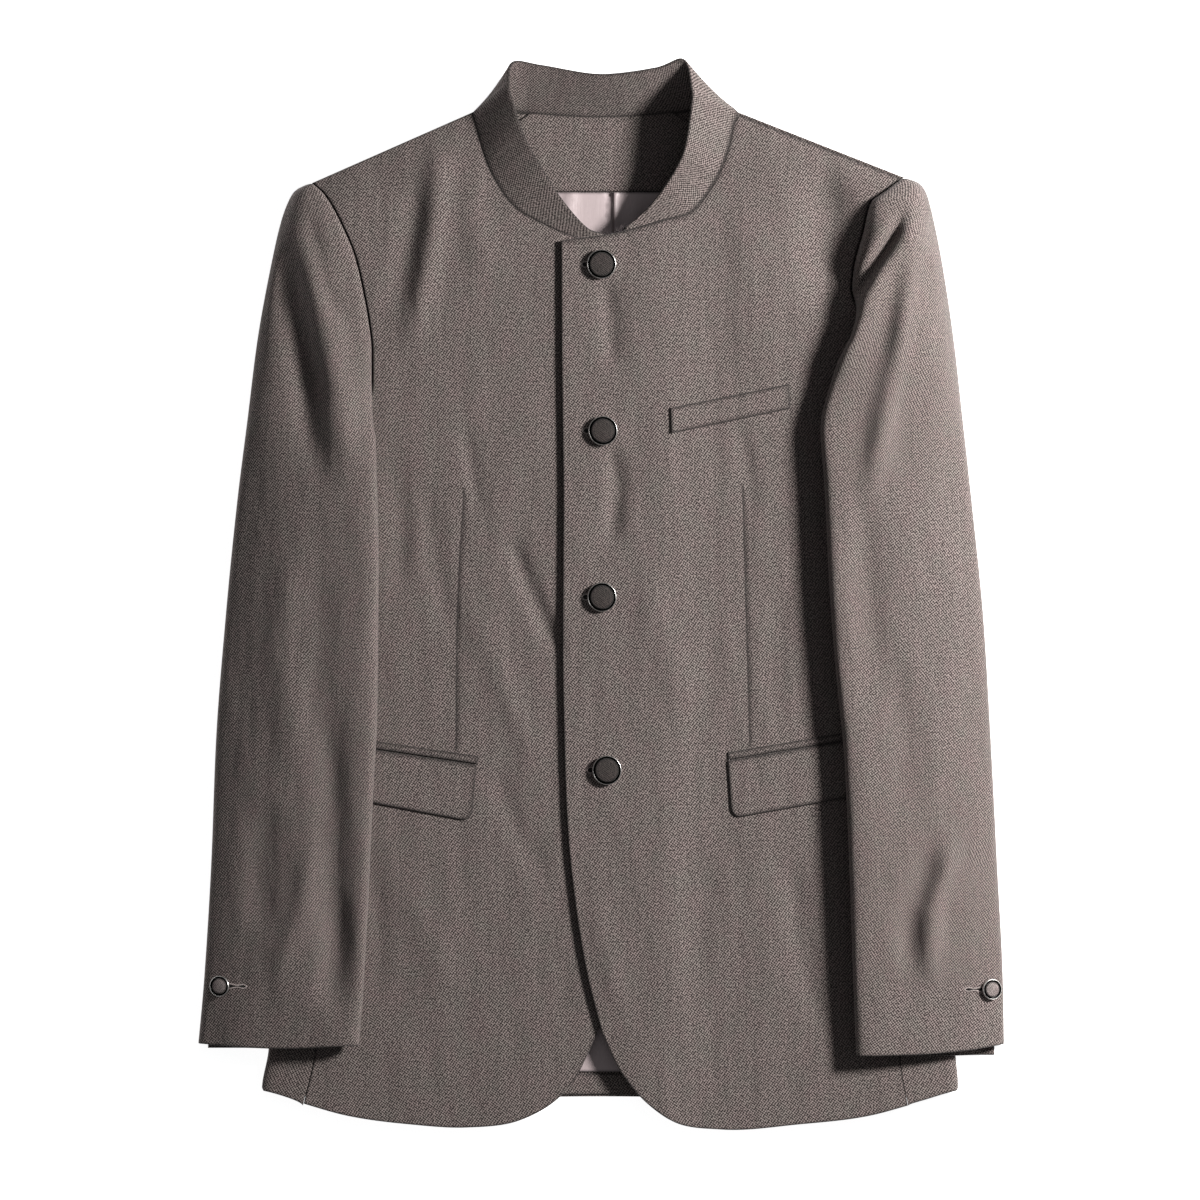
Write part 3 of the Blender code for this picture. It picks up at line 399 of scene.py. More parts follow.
DARTS = (
    ((-103, 78), (-107.6, -4.5), (-109, -117)),
    ((106, 79.5), (108.4, -4.5), (111.4, -114)),
)


def from_shoulder(x: Array, y: Array) -> tuple[Array, Array]:
    """Distance inwards from the nearer shoulder seam, and the share of the way along it.

    Args:
        x: x of each point.
        y: y of each point.

    Returns:
        The distance and the share, for each point.
    """
    found = []
    for side in SIDES:
        neck = np.array(side.neck)
        run = np.array(side.point) - neck
        length = np.linalg.norm(run)
        share = ((x - neck[0]) * run[0] + (y - neck[1]) * run[1]) / length**2
        inwards = side.sign * ((x - neck[0]) * -run[1] + (y - neck[1]) * run[0]) / length
        found.append((np.maximum(inwards, 0.0), np.clip(share, 0.0, 1.0)))
    is_left = x > CENTRE
    return np.where(is_left, found[1][0], found[0][0]), np.where(is_left, found[1][1], found[0][1])


def rim_height(share: Array) -> Array:
    """Height of the back's lower face along the shoulder seam."""
    return RIM_AT_NECK + (RIM_AT_POINT - RIM_AT_NECK) * share


def back_height(x: Array, y: Array) -> Array:
    """Height of the back's lower face: flat on the surface, and up to the shoulder seams."""
    inwards, share = from_shoulder(x, y)
    return rim_height(share) * (1.0 - ease(inwards / RIM_SLOPE))


def body_height(x: Array, y: Array) -> Array:
    """Height of the outer face of the under front and the side panels.

    Args:
        x: x of each point.
        y: y of each point.

    Returns:
        The height at each point.
    """
    to_fold = np.minimum(x - RIGHT.side_fold(y), LEFT.side_fold(y) - x)
    thinning = 1.0 - SIDE_THINNING * np.clip(1.0 - to_fold / SIDE_TAPER, 0.0, 1.0) ** 2
    height = THICKNESS(y) * thinning + folded(BODY_FOLDS, x, y)
    inwards, share = from_shoulder(x, y)
    seam = rim_height(share) + 2 * CLOTH + SEAM
    return seam + (height - seam) * crown(inwards / SHOULDER_SLOPE)


def over_height(x: Array, y: Array) -> Array:
    """Height of the over front's outer face, which lies on the under front's edge."""
    return body_height(x, y) + LAP * (1.0 - ease((x - LAP_FLAT) / LAP_FADE))


def lying(height: Callable[[Array, Array], Array], above: float = 0.0) -> Surface:
    """A surface over the plan, at the height that the function gives."""
    return lambda x, y: np.stack([x, y, height(x, y) + above], axis=-1)


def b_spline(controls: Array, share: Array) -> Array:
    """Cubic B-spline that starts and ends on its outermost controls.

    Args:
        controls: One row of controls a point.
        share: How far along the line each point is.

    Returns:
        One row a point.
    """
    ends = [controls[:, :1]] * 2 + [controls] + [controls[:, -1:]] * 2
    controls = np.concatenate(ends, axis=1)
    spans = controls.shape[1] - 3
    at = np.clip(share, 0.0, 1.0) * spans
    i = np.minimum(at.astype(int), spans - 1)
    t = at - i
    weights = ((1 - t) ** 3, 3 * t**3 - 6 * t**2 + 4, 1 + 3 * t + 3 * t**2 - 3 * t**3, t**3)
    rows = np.arange(len(at))
    return sum(w[:, None] * controls[rows, i + k] for k, w in enumerate(weights)) / 6.0


def normals_of(surface: Surface, u: Array, v: Array) -> Array:
    """Unit normals of a surface at its own coordinates, by small steps along both.

    Args:
        surface: Place of its points at two coordinates.
        u: First coordinate of each point on the surface.
        v: Second coordinate of each point on the surface.

    Returns:
        One vector of length 1 a point.
    """
    step = 0.05
    along_u = surface(u + step, v) - surface(u - step, v)
    along_v = surface(u, v + step) - surface(u, v - step)
    normal = np.cross(along_u, along_v)
    return normal / np.maximum(np.linalg.norm(normal, axis=1), 1e-12)[:, None]


def inside(outline: Array, points: Array) -> Array:
    """Whether each point lies inside a closed outline.

    Args:
        outline: Points round it, without a repeated end.
        points: The points to look up.

    Returns:
        True for each point that does.
    """
    result = np.zeros(len(points), bool)
    x, y = points.T
    for a, b in zip(outline, np.roll(outline, -1, axis=0)):
        if a[1] != b[1]:
            crosses = (a[1] > y) != (b[1] > y)
            result ^= crosses & (x < a[0] + (y - a[1]) / (b[1] - a[1]) * (b[0] - a[0]))
    return result


def shrunk(outline: Array, by: float) -> Array:
    """A closed outline moved inwards.

    Args:
        outline: Points round it, without a repeated end.
        by: How far, in the outline's own unit.

    Returns:
        The moved outline, point for point.
    """
    outline = np.array(outline, float)
    before = outline - np.roll(outline, 1, axis=0)
    after = np.roll(outline, -1, axis=0) - outline
    normals = []
    for run in (before, after):
        turned = np.stack([-run[:, 1], run[:, 0]], axis=-1)
        normals.append(turned / np.linalg.norm(turned, axis=1)[:, None])
    area = np.sum(outline[:, 0] * np.roll(outline[:, 1], -1) - np.roll(outline[:, 0], -1) * outline[:, 1])
    middle = normals[0] + normals[1]
    middle /= np.maximum(np.sum(middle * normals[0], axis=1), 0.5)[:, None]
    return outline + np.sign(area) * by * middle


def closed_line(*edges: Sequence, apart: float = 0.4) -> Array:
    """One closed outline out of edges that follow each other."""
    points = np.concatenate([np.array(edge, float) for edge in edges])
    keep = np.linalg.norm(points - np.roll(points, 1, axis=0), axis=1) > apart
    return points[keep]


def refined(outline: Array, step: float) -> Array:
    """An outline with points added on its straight runs, so that none is longer than a step.

    Args:
        outline: Points round it, without a repeated end.
        step: The longest run that is left.

    Returns:
        The outline's points.
    """
    points = []
    for a, b in zip(outline, np.roll(outline, -1, axis=0)):
        count = max(1, math.ceil(np.linalg.norm(b - a) / step))
        points += [a + (b - a) * k / count for k in range(count)]
    return np.array(points)


def pairs(x: Array | float, y: Array | float) -> Array:
    """Points from their x and y, either of which may be one number for all of them."""
    return np.stack(np.broadcast_arrays(x, y), axis=-1)


def section(controls: Sequence[tuple[Array, Array]], share: Array) -> Array:
    """The places at a share of the way along smooth sections, each pair of arrays being one control."""
    return b_spline(np.stack([np.stack(pair, axis=-1) for pair in controls], axis=1), share)


def smallest_box(flat: Array) -> tuple[float, float]:
    """Width and length of the smallest rectangle round flat points, turned as it fits best.

    Args:
        flat: The points, seen flat.

    Returns:
        Both lengths, in the points' own unit.
    """
    sizes = []
    for angle in np.radians(np.arange(0.0, 90.0, 1.0)):
        across = flat @ (math.cos(angle), math.sin(angle))
        along = flat @ (-math.sin(angle), math.cos(angle))
        sizes.append((float(np.ptp(across)), float(np.ptp(along))))
    return min(sizes, key=lambda size: size[0] * size[1])


def girth(surface: Surface, around: float, low: float, high: float) -> Surface:
    """Flattens a surface that is bent round one way.

    Args:
        surface: The surface, whose first coordinate goes round and whose second is y.
        around: The first coordinate's range.
        low: The lowest y.
        high: The highest y.

    Returns:
        The flat place of each pair of coordinates: the distance round it, and y.
    """
    shares = np.linspace(0.0, around, 160)
    rows = np.linspace(low, high, 90)
    table = []
    for y in rows:
        steps = np.diff(surface(shares, np.full_like(shares, y)), axis=0)
        table.append(np.concatenate([[0.0], np.cumsum(np.linalg.norm(steps, axis=1))]))
    table = np.array(table)
    table -= table[:, [len(shares) // 2]]

    def flat(u: Array, y: Array) -> Array:
        """Looks the distance round up in the table, and keeps y.

        Args:
            u: First coordinate of each point on the surface.
            y: y of each point.

        Returns:
            The flat place of each point.
        """
        a = np.clip(u / around * (len(shares) - 1), 0, len(shares) - 1.001)
        b = np.clip((y - rows[0]) / (rows[1] - rows[0]), 0, len(rows) - 1.001)
        i, j = a.astype(int), b.astype(int)
        s, t = a - i, b - j
        lower = table[j, i] * (1 - s) + table[j, i + 1] * s
        upper = table[j + 1, i] * (1 - s) + table[j + 1, i + 1] * s
        return np.stack([lower * (1 - t) + upper * t, y], axis=-1)

    return flat


RINGS = (0.12, 0.45, 1.0)  # places of the points round a rounded edge, as shares of its radius
ROW_PITCH = 0.866  # from row to row of a panel's points, as a share of their step


@dataclass
class Panel:
    """One cut piece of cloth, as a thin closed shell with rounded edges."""

    name: str
    outline: Array  # closed, in the surface's own coordinates
    surface: Surface  # place of the outer face at those coordinates
    outward: int  # 1 where their right-handed normal points out of the garment
    outer: bpy.types.Material
    inner: bpy.types.Material
    wall: float = CLOTH
    step: float = 3.2
    creases: Sequence[Array] = ()
    turning: float = 30.0  # width of the outer cloth that is turned in round the edge
    cut: Surface | None = None  # the weave's own coordinates, from those of the surface
    inward: Surface | None = None  # direction to the inner face, where it isn't the normal's
    seams: Sequence[tuple[Array, float]] = ()  # lines on it that get painted shade, as in a seam's ditch, with their widths
    # width of the painted shade along the outline, for the shade in the gap at a seam or round an edge
    edge_shade_width: float = 0.95

    def points(self) -> tuple[Array, Array, Array]:
        """The flat points, their triangles, and their distance from the outline.

        Returns:
            The three arrays, in the surface's own coordinates.
        """
        step = self.step * 1.0
        rim = refined(self.outline, step)
        radius = self.wall / 2
        rings = [shrunk(rim, share * radius) for share in RINGS]
        rings.append(shrunk(rim, radius + 0.35 * step))
        low, high = rim.min(axis=0), rim.max(axis=0)
        rows = np.arange(low[1], high[1], step * ROW_PITCH)
        columns = np.arange(low[0], high[0], step)
        grid = np.concatenate([
            np.stack([columns + 0.5 * step * (k % 2), np.full_like(columns, row)], axis=-1)
            for k, row in enumerate(rows)
        ])
        grid = grid[inside(rings[-1], grid)]
        closed = np.concatenate([rim, rim[:1]])
        grid = grid[to_line(closed, *grid.T)[0] > radius + 0.8 * step]
        for line in self.creases:
            grid = grid[to_line(line, *grid.T)[0] > 0.55 * step]
        extra = [ring[inside(rim, ring)] for ring in rings]
        extra = [ring[to_line(closed, *ring.T)[0] > 0.08 * radius] for ring in extra]
        edges: list[tuple[int, int]] = []
        start = len(rim)
        for line in self.creases:
            edges += [(start + k, start + k + 1) for k in range(len(line) - 1)]
            start += len(line)
        points = np.concatenate([rim, *self.creases, *extra, grid])
        loop = [list(range(len(rim)))]
        found = delaunay_2d_cdt([Vector(p) for p in points], edges, loop, 1, 1e-5)
        flat = np.array([tuple(p) for p in found[0]])
        far = to_line(closed, *flat.T)[0]
        return flat, np.array([tuple(f) for f in found[2]]), far

    def build(self) -> bpy.types.Object:
        """Makes the piece.

        Returns:
            The object, with the weave's coordinates in its UV map.
        """
        flat, triangles, far = self.points()
        outer = self.surface(*flat.T)
        if self.inward is None:
            into = -self.outward * normals_of(self.surface, *flat.T)
        else:
            into = self.inward(*flat.T)
        radius = self.wall / 2
        is_rim = far < 1e-3
        full = np.sqrt(1.0 - (1.0 - np.clip(far / radius, 0.0, 1.0)) ** 2)
        middle = outer + into * radius
        face = middle - into * (radius * full)[:, None]
        lower = middle + into * (radius * full)[:, None]
        index = np.arange(len(flat))
        below = np.cumsum(~is_rim) - 1 + len(flat)
        below = np.where(is_rim, index, below)
        if self.outward < 0:
            triangles = triangles[:, ::-1]
        faces = np.concatenate([triangles, below[triangles[:, ::-1]]])
        points = np.concatenate([face, lower[~is_rim]])
        cut = flat if self.cut is None else self.cut(*flat.T)
        cut = np.concatenate([cut, cut[~is_rim]]) * MM
        made = new_object(self.name, points, faces, [self.outer, self.inner])
        deep = far[triangles].min(axis=1) > self.turning
        slots = np.concatenate([np.zeros(len(triangles), int), deep.astype(int)])
        made.data.polygons.foreach_set("material_index", slots)
        layer = made.data.uv_layers.new(name="cut")
        layer.data.foreach_set("uv", cut[faces.ravel()].ravel())
        # Painted shade: the seam value is 1 on the outline and on the listed lines and fades within their widths; the
        # finishes darken with it, for the shade in seam gaps and grooves.
        shade = bell(far, self.edge_shade_width) if self.edge_shade_width else np.zeros(len(far))
        for line, width in self.seams:
            shade = np.maximum(shade, bell(to_line(line, *flat.T)[0], width))
        made.data.attributes.new("seam", "FLOAT", "POINT")
        made.data.attributes["seam"].data.foreach_set("value", np.concatenate([shade, shade[~is_rim]]))
        corners = cut[triangles]
        runs = corners[:, 1:] - corners[:, :1]
        area = np.abs(runs[:, 0, 0] * runs[:, 1, 1] - runs[:, 0, 1] * runs[:, 1, 0]).sum() / 2
        made["cut_size"] = [*smallest_box(cut[:len(flat)]), float(area)]
        return made


def placed(name: str, data: bpy.types.ID) -> bpy.types.Object:
    """A new object in the scene that shows a mesh, a lamp or a lens."""
    made = bpy.data.objects.new(name, data)
    bpy.context.scene.collection.objects.link(made)
    return made


def new_object(name: str, points: Array, faces: Array, materials: Sequence) -> bpy.types.Object:
    """An object from points in millimetres.

    Args:
        name: Its name.
        points: One row a point.
        faces: One row of indices a face.
        materials: Its material slots.

    Returns:
        The object, smooth shaded, in the scene.
    """
    mesh = bpy.data.meshes.new(name)
    mesh.from_pydata(((np.asarray(points) - MIDDLE) * MM).tolist(), [], [list(map(int, f)) for f in faces])
    mesh.shade_smooth()
    for material in materials:
        mesh.materials.append(material)
    return placed(name, mesh)


SEAM_SHADE_DEPTH = 0.85  # how far the painted shade at seams and edges goes to its darkest
TO_MM = (1 / MM, 1 / MM, 0.0)  # from the metres of the cut coordinates


class Tree:
    """Short ways to add nodes and links to a node tree."""

    def __init__(self, tree: bpy.types.NodeTree) -> None:
        """Keeps the tree."""
        self.tree = tree

    def node(self, kind: str, **settings: object) -> bpy.types.Node:
        """Adds a node.

        Args:
            kind: Its type name.
            settings: Its properties.

        Returns:
            The node.
        """
        made = self.tree.nodes.new(kind)
        for key, value in settings.items():
            setattr(made, key, value)
        return made

    def feed(self, node: bpy.types.Node, **inputs: object) -> bpy.types.Node:
        """Links or sets inputs by name, with _ for a space, or by place as in i0.

        Args:
            node: The node, which has all these inputs.
            inputs: Sockets to link, or values to set.

        Returns:
            The same node.
        """
        for key, value in inputs.items():
            numbered = key[0] == "i" and key[1:].isdigit()
            socket = node.inputs[int(key[1:])] if numbered else node.inputs[key.replace("_", " ")]
            if isinstance(value, Socket):
                self.tree.links.new(value, socket)
            else:
                socket.default_value = value
        return node

    def math(self, operation: str, *values: object) -> Socket:
        """The result of a Math node.

        Args:
            operation: The node's operation.
            values: Sockets or numbers, in the order of its inputs.

        Returns:
            Its output.
        """
        made = self.node("ShaderNodeMath", operation=operation)
        for k, value in enumerate(values):
            self.feed(made, **{f"i{k}": value})
        return made.outputs[0]

    def scaled(self, vector: Socket, scale: tuple) -> Socket:
        """A vector times a scale along each axis."""
        made = self.node("ShaderNodeVectorMath", operation="MULTIPLY")
        self.feed(made, i0=vector, i1=scale)
        return made.outputs[0]

    def noise(self, vector: Socket, detail: float = 1.0, rough: float = 0.5) -> Socket:
        """A soft noise of unit size."""
        made = self.node("ShaderNodeTexNoise", noise_dimensions="3D")
        self.feed(made, Vector=vector, Scale=1.0, Detail=detail, Roughness=rough)
        return made.outputs["Fac"]

    def spread(self, value: Socket, low: float = 0.3, high: float = 0.7, to: tuple = (0.0, 1.0)) -> Socket:
        """A value from low to high, a noise's usual range, brought to another range."""
        made = self.node("ShaderNodeMapRange")
        self.feed(made, i0=value, i1=low, i2=high, i3=to[0], i4=to[1])
        return made.outputs[0]

    def mix(self, share: object, a: object, b: object, blend: str = "MIX") -> Socket:
        """Two colours mixed."""
        made = self.node("ShaderNodeMix", data_type="RGBA", blend_type=blend)
        self.feed(made, i0=share, i6=a, i7=b)
        return made.outputs[2]

    def cut(self) -> Socket:
        """The place on the flat cloth, in metres."""
        return self.node("ShaderNodeUVMap", uv_map="cut").outputs[0]

    def seam(self) -> Socket:
        """How much painted shade a point gets at a seam or edge, from 0 to 1."""
        return self.node("ShaderNodeAttribute", attribute_name="seam").outputs["Fac"]

    def painted_seam_shade(self, colour: Socket, own: tuple[float, float, float], keep: float) -> Socket:
        """A colour darkened by painted shade in the seams, to a share of the finish's own colour."""
        deep = tuple(keep * c for c in own)
        return self.mix(self.math("MULTIPLY", self.seam(), SEAM_SHADE_DEPTH), colour, (*deep, 1.0))

    def bump(self, height: Socket, relief: float) -> Socket:
        """The normal of a surface with a height, whose unit is the relief in millimetres."""
        made = self.node("ShaderNodeBump")
        self.feed(made, Height=height, Distance=relief * MM, Strength=1.0)
        return made.outputs[0]

    def ramp(self, value: Socket, stops: Sequence[tuple[float, tuple]]) -> Socket:
        """Colours along a value.

        Args:
            value: The value that picks the colour.
            stops: Places from 0 to 1, each with its colour.

        Returns:
            The colour output.
        """
        made = self.node("ShaderNodeValToRGB")
        elements = made.color_ramp.elements
        while len(elements) < len(stops):
            elements.new(0.5)
        for element, (place, colour) in zip(elements, stops):
            element.position = place
            element.color = (*colour, 1.0)
        self.feed(made, Fac=value)
        return made.outputs["Color"]


def new_material(name: str) -> tuple[bpy.types.Material, Tree, bpy.types.Node]:
    """A new material, its tree and its shader."""
    made = bpy.data.materials.new(name)
    made.use_nodes = True
    return made, Tree(made.node_tree), made.node_tree.nodes["Principled BSDF"]


def add_inputs(group: bpy.types.NodeTree, values: dict[str, float]) -> None:
    """Gives a node group inputs for numbers, with their usual values."""
    for key, value in values.items():
        socket = group.interface.new_socket(key, in_out="INPUT", socket_type="NodeSocketFloat")
        socket.default_value = value


def weave_group() -> bpy.types.NodeTree:
    """The twill's pattern, shared by every woven finish.

    Returns:
        A group with the inputs Cut, Rib Pitch, Dash Pitch, Lean and Melange, and the outputs Shade,
        Height, Drift, Streak and Ripple, each from 0 to 1.
    """
    name = "twill weave"
    if name in bpy.data.node_groups:
        return bpy.data.node_groups[name]
    group = bpy.data.node_groups.new(name, "ShaderNodeTree")
    tree = Tree(group)
    group.interface.new_socket("Cut", in_out="INPUT", socket_type="NodeSocketVector")
    add_inputs(group, {"Rib Pitch": 1.75, "Dash Pitch": 1.55, "Lean": 0.61, "Melange": 0.5})
    for key in ("Shade", "Height", "Drift", "Streak", "Ripple"):
        group.interface.new_socket(key, in_out="OUTPUT", socket_type="NodeSocketFloat")
    given = tree.node("NodeGroupInput")
    result = tree.node("NodeGroupOutput")
    flat = tree.scaled(given.outputs["Cut"], TO_MM)
    turned = tree.node("ShaderNodeVectorRotate", rotation_type="Z_AXIS")
    tree.feed(turned, Vector=flat, Angle=given.outputs["Lean"])
    parts = tree.node("ShaderNodeSeparateXYZ")
    tree.feed(parts, i0=turned.outputs[0])
    wander = tree.noise(tree.scaled(flat, (0.05, 0.03, 0.0)), 1.0)
    across = tree.math("ADD", parts.outputs[0], tree.math("MULTIPLY", wander, 2.0))
    ribs = tree.math("MULTIPLY", tree.math("DIVIDE", across, given.outputs["Rib Pitch"]), 2 * math.pi)
    dashes = tree.math("MULTIPLY", tree.math("DIVIDE", parts.outputs[1], given.outputs["Dash Pitch"]), 2 * math.pi)
    rib = tree.math("SINE", ribs)
    dash = tree.math("SINE", dashes)
    speck = tree.spread(tree.noise(tree.scaled(flat, (0.85, 0.7, 0.0)), 2.0, 0.7), to=(-1.0, 1.0))
    weave = tree.math("MULTIPLY_ADD", rib, 0.4, tree.math("MULTIPLY_ADD", dash, 0.36, 0.5))
    shade = tree.math("MULTIPLY_ADD", speck, given.outputs["Melange"], weave)
    height = tree.math("MULTIPLY_ADD", rib, 0.3, tree.math("MULTIPLY_ADD", dash, 0.2, 0.5))
    drift = tree.noise(tree.scaled(flat, (0.06, 0.045, 0.0)), 2.5, 0.6)
    streak = tree.noise(tree.scaled(flat, (0.55, 0.012, 0.0)), 2.0, 0.6)
    ripple = tree.noise(tree.scaled(flat, (0.045, 0.014, 0.0)), 2.0, 0.5)
    tree.feed(result, Shade=shade, Height=height, Drift=tree.spread(drift),
              Streak=tree.spread(streak), Ripple=ripple)
    return group


@dataclass(frozen=True)
class TwillFinish:
    """A melange twill: dark, middle and light yarns, with a slow drift of their tint."""

    name: str
    dark: tuple[float, float, float]
    middle: tuple[float, float, float]
    light: tuple[float, float, float]
    warm: tuple[float, float, float] = (1.06, 0.985, 0.99)
    cool: tuple[float, float, float] = (0.97, 1.0, 0.965)
    rib_pitch: float = 1.75
    dash_pitch: float = 1.55
    melange: float = 0.72
    relief: float = 0.1  # millimetres
    ripple: float = 2.2  # millimetres
    seam_shade: float = 0.16  # share of the finish's colour that the painted shade at a seam keeps
    roughness: float = 0.86
    sheen: float = 0.12

    def material(self) -> bpy.types.Material:
        """The material, made once.

        Returns:
            The material, whose pattern reads the map named cut.
        """
        if self.name in bpy.data.materials:
            return bpy.data.materials[self.name]
        made, tree, shader = new_material(self.name)
        weave = tree.node("ShaderNodeGroup")
        weave.node_tree = weave_group()
        tree.feed(weave, Cut=tree.cut(), Rib_Pitch=self.rib_pitch, Dash_Pitch=self.dash_pitch, Melange=self.melange)
        colour = tree.ramp(weave.outputs["Shade"], ((0.1, self.dark), (0.5, self.middle), (0.92, self.light)))
        tint = tree.mix(weave.outputs["Drift"], (*self.cool, 1.0), (*self.warm, 1.0))
        colour = tree.mix(1.0, colour, tint, "MULTIPLY")
        streak = tree.spread(weave.outputs["Streak"], 0.0, 1.0, (0.92, 1.08))
        grey = tree.node("ShaderNodeCombineXYZ")
        tree.feed(grey, X=streak, Y=streak, Z=streak)
        colour = tree.mix(1.0, colour, grey.outputs[0], "MULTIPLY")
        colour = tree.painted_seam_shade(colour, self.middle, self.seam_shade)
        ripple = self.ripple / self.relief
        height = tree.math("MULTIPLY_ADD", weave.outputs["Ripple"], ripple, weave.outputs["Height"])
        rough = tree.spread(weave.outputs["Shade"], 0.0, 1.0, (self.roughness + 0.06, self.roughness - 0.06))
        tree.feed(shader, Base_Color=colour, Roughness=rough, Normal=tree.bump(height, self.relief))
        tree.feed(shader, Specular_IOR_Level=0.25, Sheen_Weight=self.sheen, Sheen_Roughness=0.5)
        return made


@dataclass(frozen=True)
class SatinFinish:
    """A smooth lining satin with fine warp lines."""

    name: str
    colour: tuple[float, float, float]
    roughness: float = 0.42
    relief: float = 0.08  # millimetres
    seam_shade: float = 0.18  # share of the finish's colour that the painted shade at a seam keeps

    def material(self) -> bpy.types.Material:
        """The material, made once.

        Returns:
            The material, whose pattern reads the map named cut.
        """
        if self.name in bpy.data.materials:
            return bpy.data.materials[self.name]
        made, tree, shader = new_material(self.name)
        flat = tree.scaled(tree.cut(), TO_MM)
        warp = tree.noise(tree.scaled(flat, (2.4, 0.05, 0.0)), 2.0, 0.6)
        cloud = tree.noise(tree.scaled(flat, (0.05, 0.03, 0.0)), 2.0, 0.5)
        dark = tuple(0.9 * c for c in self.colour)
        colour = tree.mix(tree.spread(warp), (*dark, 1.0), (*self.colour, 1.0))
        colour = tree.painted_seam_shade(colour, self.colour, self.seam_shade)
        height = tree.math("MULTIPLY_ADD", cloud, 4.0, warp)
        rough = tree.spread(warp, to=(self.roughness - 0.05, self.roughness + 0.07))
        tree.feed(shader, Base_Color=colour, Roughness=rough, Normal=tree.bump(height, self.relief))
        tree.feed(shader, Specular_IOR_Level=0.5, Sheen_Weight=0.1, Sheen_Roughness=0.4)
        return made


@dataclass(frozen=True)
class MetalFinish:
    """A plated metal, worn a little unevenly, painted near black where the seam value marks the groove's shade."""

    name: str
    colour: tuple[float, float, float]
    roughness: float = 0.24
    # painted shade in the groove round a button's face
    groove: tuple[float, float, float] = (0.012, 0.012, 0.012)

    def material(self) -> bpy.types.Material:
        """The material, made once.

        Returns:
            The material, whose pattern reads Object coordinates.
        """
        if self.name in bpy.data.materials:
            return bpy.data.materials[self.name]
        made, tree, shader = new_material(self.name)
        place = tree.node("ShaderNodeTexCoord").outputs["Object"]
        cloud = tree.noise(tree.scaled(place, (900.0, 900.0, 900.0)), 3.0, 0.6)
        dark = tuple(0.7 * c for c in self.colour)
        colour = tree.mix(tree.spread(cloud), (*dark, 1.0), (*self.colour, 1.0))
        # Painted shade: near black where the seam value is 1.
        colour = tree.mix(tree.seam(), colour, (*self.groove, 1.0))
        rough = tree.spread(cloud, to=(self.roughness - 0.07, self.roughness + 0.12))
        tree.feed(shader, Base_Color=colour, Roughness=rough, Metallic=1.0)
        return made


WOOL = TwillFinish("wool_twill", (0.014, 0.0105, 0.0105), (0.079, 0.0635, 0.061), (0.235, 0.2, 0.19))
BUTTON_CLOTH = TwillFinish("button_cloth", (0.006, 0.005, 0.005), (0.024, 0.0195, 0.0185), (0.06, 0.05, 0.047),
                           rib_pitch=1.0, dash_pitch=1.3, relief=0.08, ripple=0.0)
# Painted shade: a near-black finish for the buttonholes' openings, in place of the shade inside the slit.
OPENING_SHADE = TwillFinish("buttonhole_opening_painted_shade", (0.002, 0.002, 0.002), (0.005, 0.0045, 0.0045), (0.01, 0.009, 0.009),
                      relief=0.05, ripple=0.0)
THREAD = TwillFinish("buttonhole_thread", (0.18, 0.15, 0.145), (0.34, 0.3, 0.29), (0.5, 0.45, 0.44),
                     rib_pitch=0.6, dash_pitch=0.8, relief=0.04, ripple=0.0)
LINING = SatinFinish("lining_satin", (0.44, 0.365, 0.37))
# Painted light: a lighter copy of the button cloth for the sleeve buttons, which catch more of the key light at their
# tilt.
SLEEVE_BUTTON_LIT_CLOTH = replace(BUTTON_CLOTH, name="sleeve_button_cloth_painted_light", dark=(0.04, 0.034, 0.034),
                              middle=(0.15, 0.125, 0.122), light=(0.28, 0.245, 0.24))
DARK_THREAD = replace(THREAD, name="fell_stitch_thread", dark=(0.015, 0.012, 0.012), middle=(0.045, 0.036, 0.035),
                      light=(0.1, 0.084, 0.08))
RIM_METAL = MetalFinish("button_rim_metal", (0.7, 0.685, 0.665), 0.3)


class Slot(Enum):
    """Where a piece's finish comes from."""

    WOOL = "wool"
    LINING = "lining"
    RIM = "button_rim"
    FACE = "button_face"


class Held(Enum):
    """How a cut piece of cloth is held in place."""

    LAID = "laid"
    FOLDED = "folded"


@dataclass
class Piece:
    """A finished piece, the CAD parts that it stands for, its finish, what it rests on and how it is held."""

    made: bpy.types.Object
    nodes: tuple[str, ...]
    slot: Slot
    rests_on: tuple[str, ...] = ()
    held: Held = Held.LAID

    def declare(self) -> None:
        """Hangs it on the root, hides the CAD parts that it replaces, and logs the size of the cut that it was made
        from.
        """
        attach(self.made, "root")
        if self.nodes:
            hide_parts(*self.nodes)
        if "cut_size" in self.made:
            width, length, area = self.made["cut_size"]
            del self.made["cut_size"]
            width, length = sorted((max(width, 0.01), max(length, 0.01)))
            faces = len(self.made.data.polygons)
            LOG.info("%s: %d faces, %.3f x %.3f m, %.4f m2", self.made.name, faces, width, length, area)


def neck_edge(first: int, last: int, count: int) -> Array:
    """The neck seam seen from above, between two rows of the band."""
    where = np.linspace(first, last, count) / (len(BAND) - 1)
    return StandCollar.bones(where)[0][:, :2]


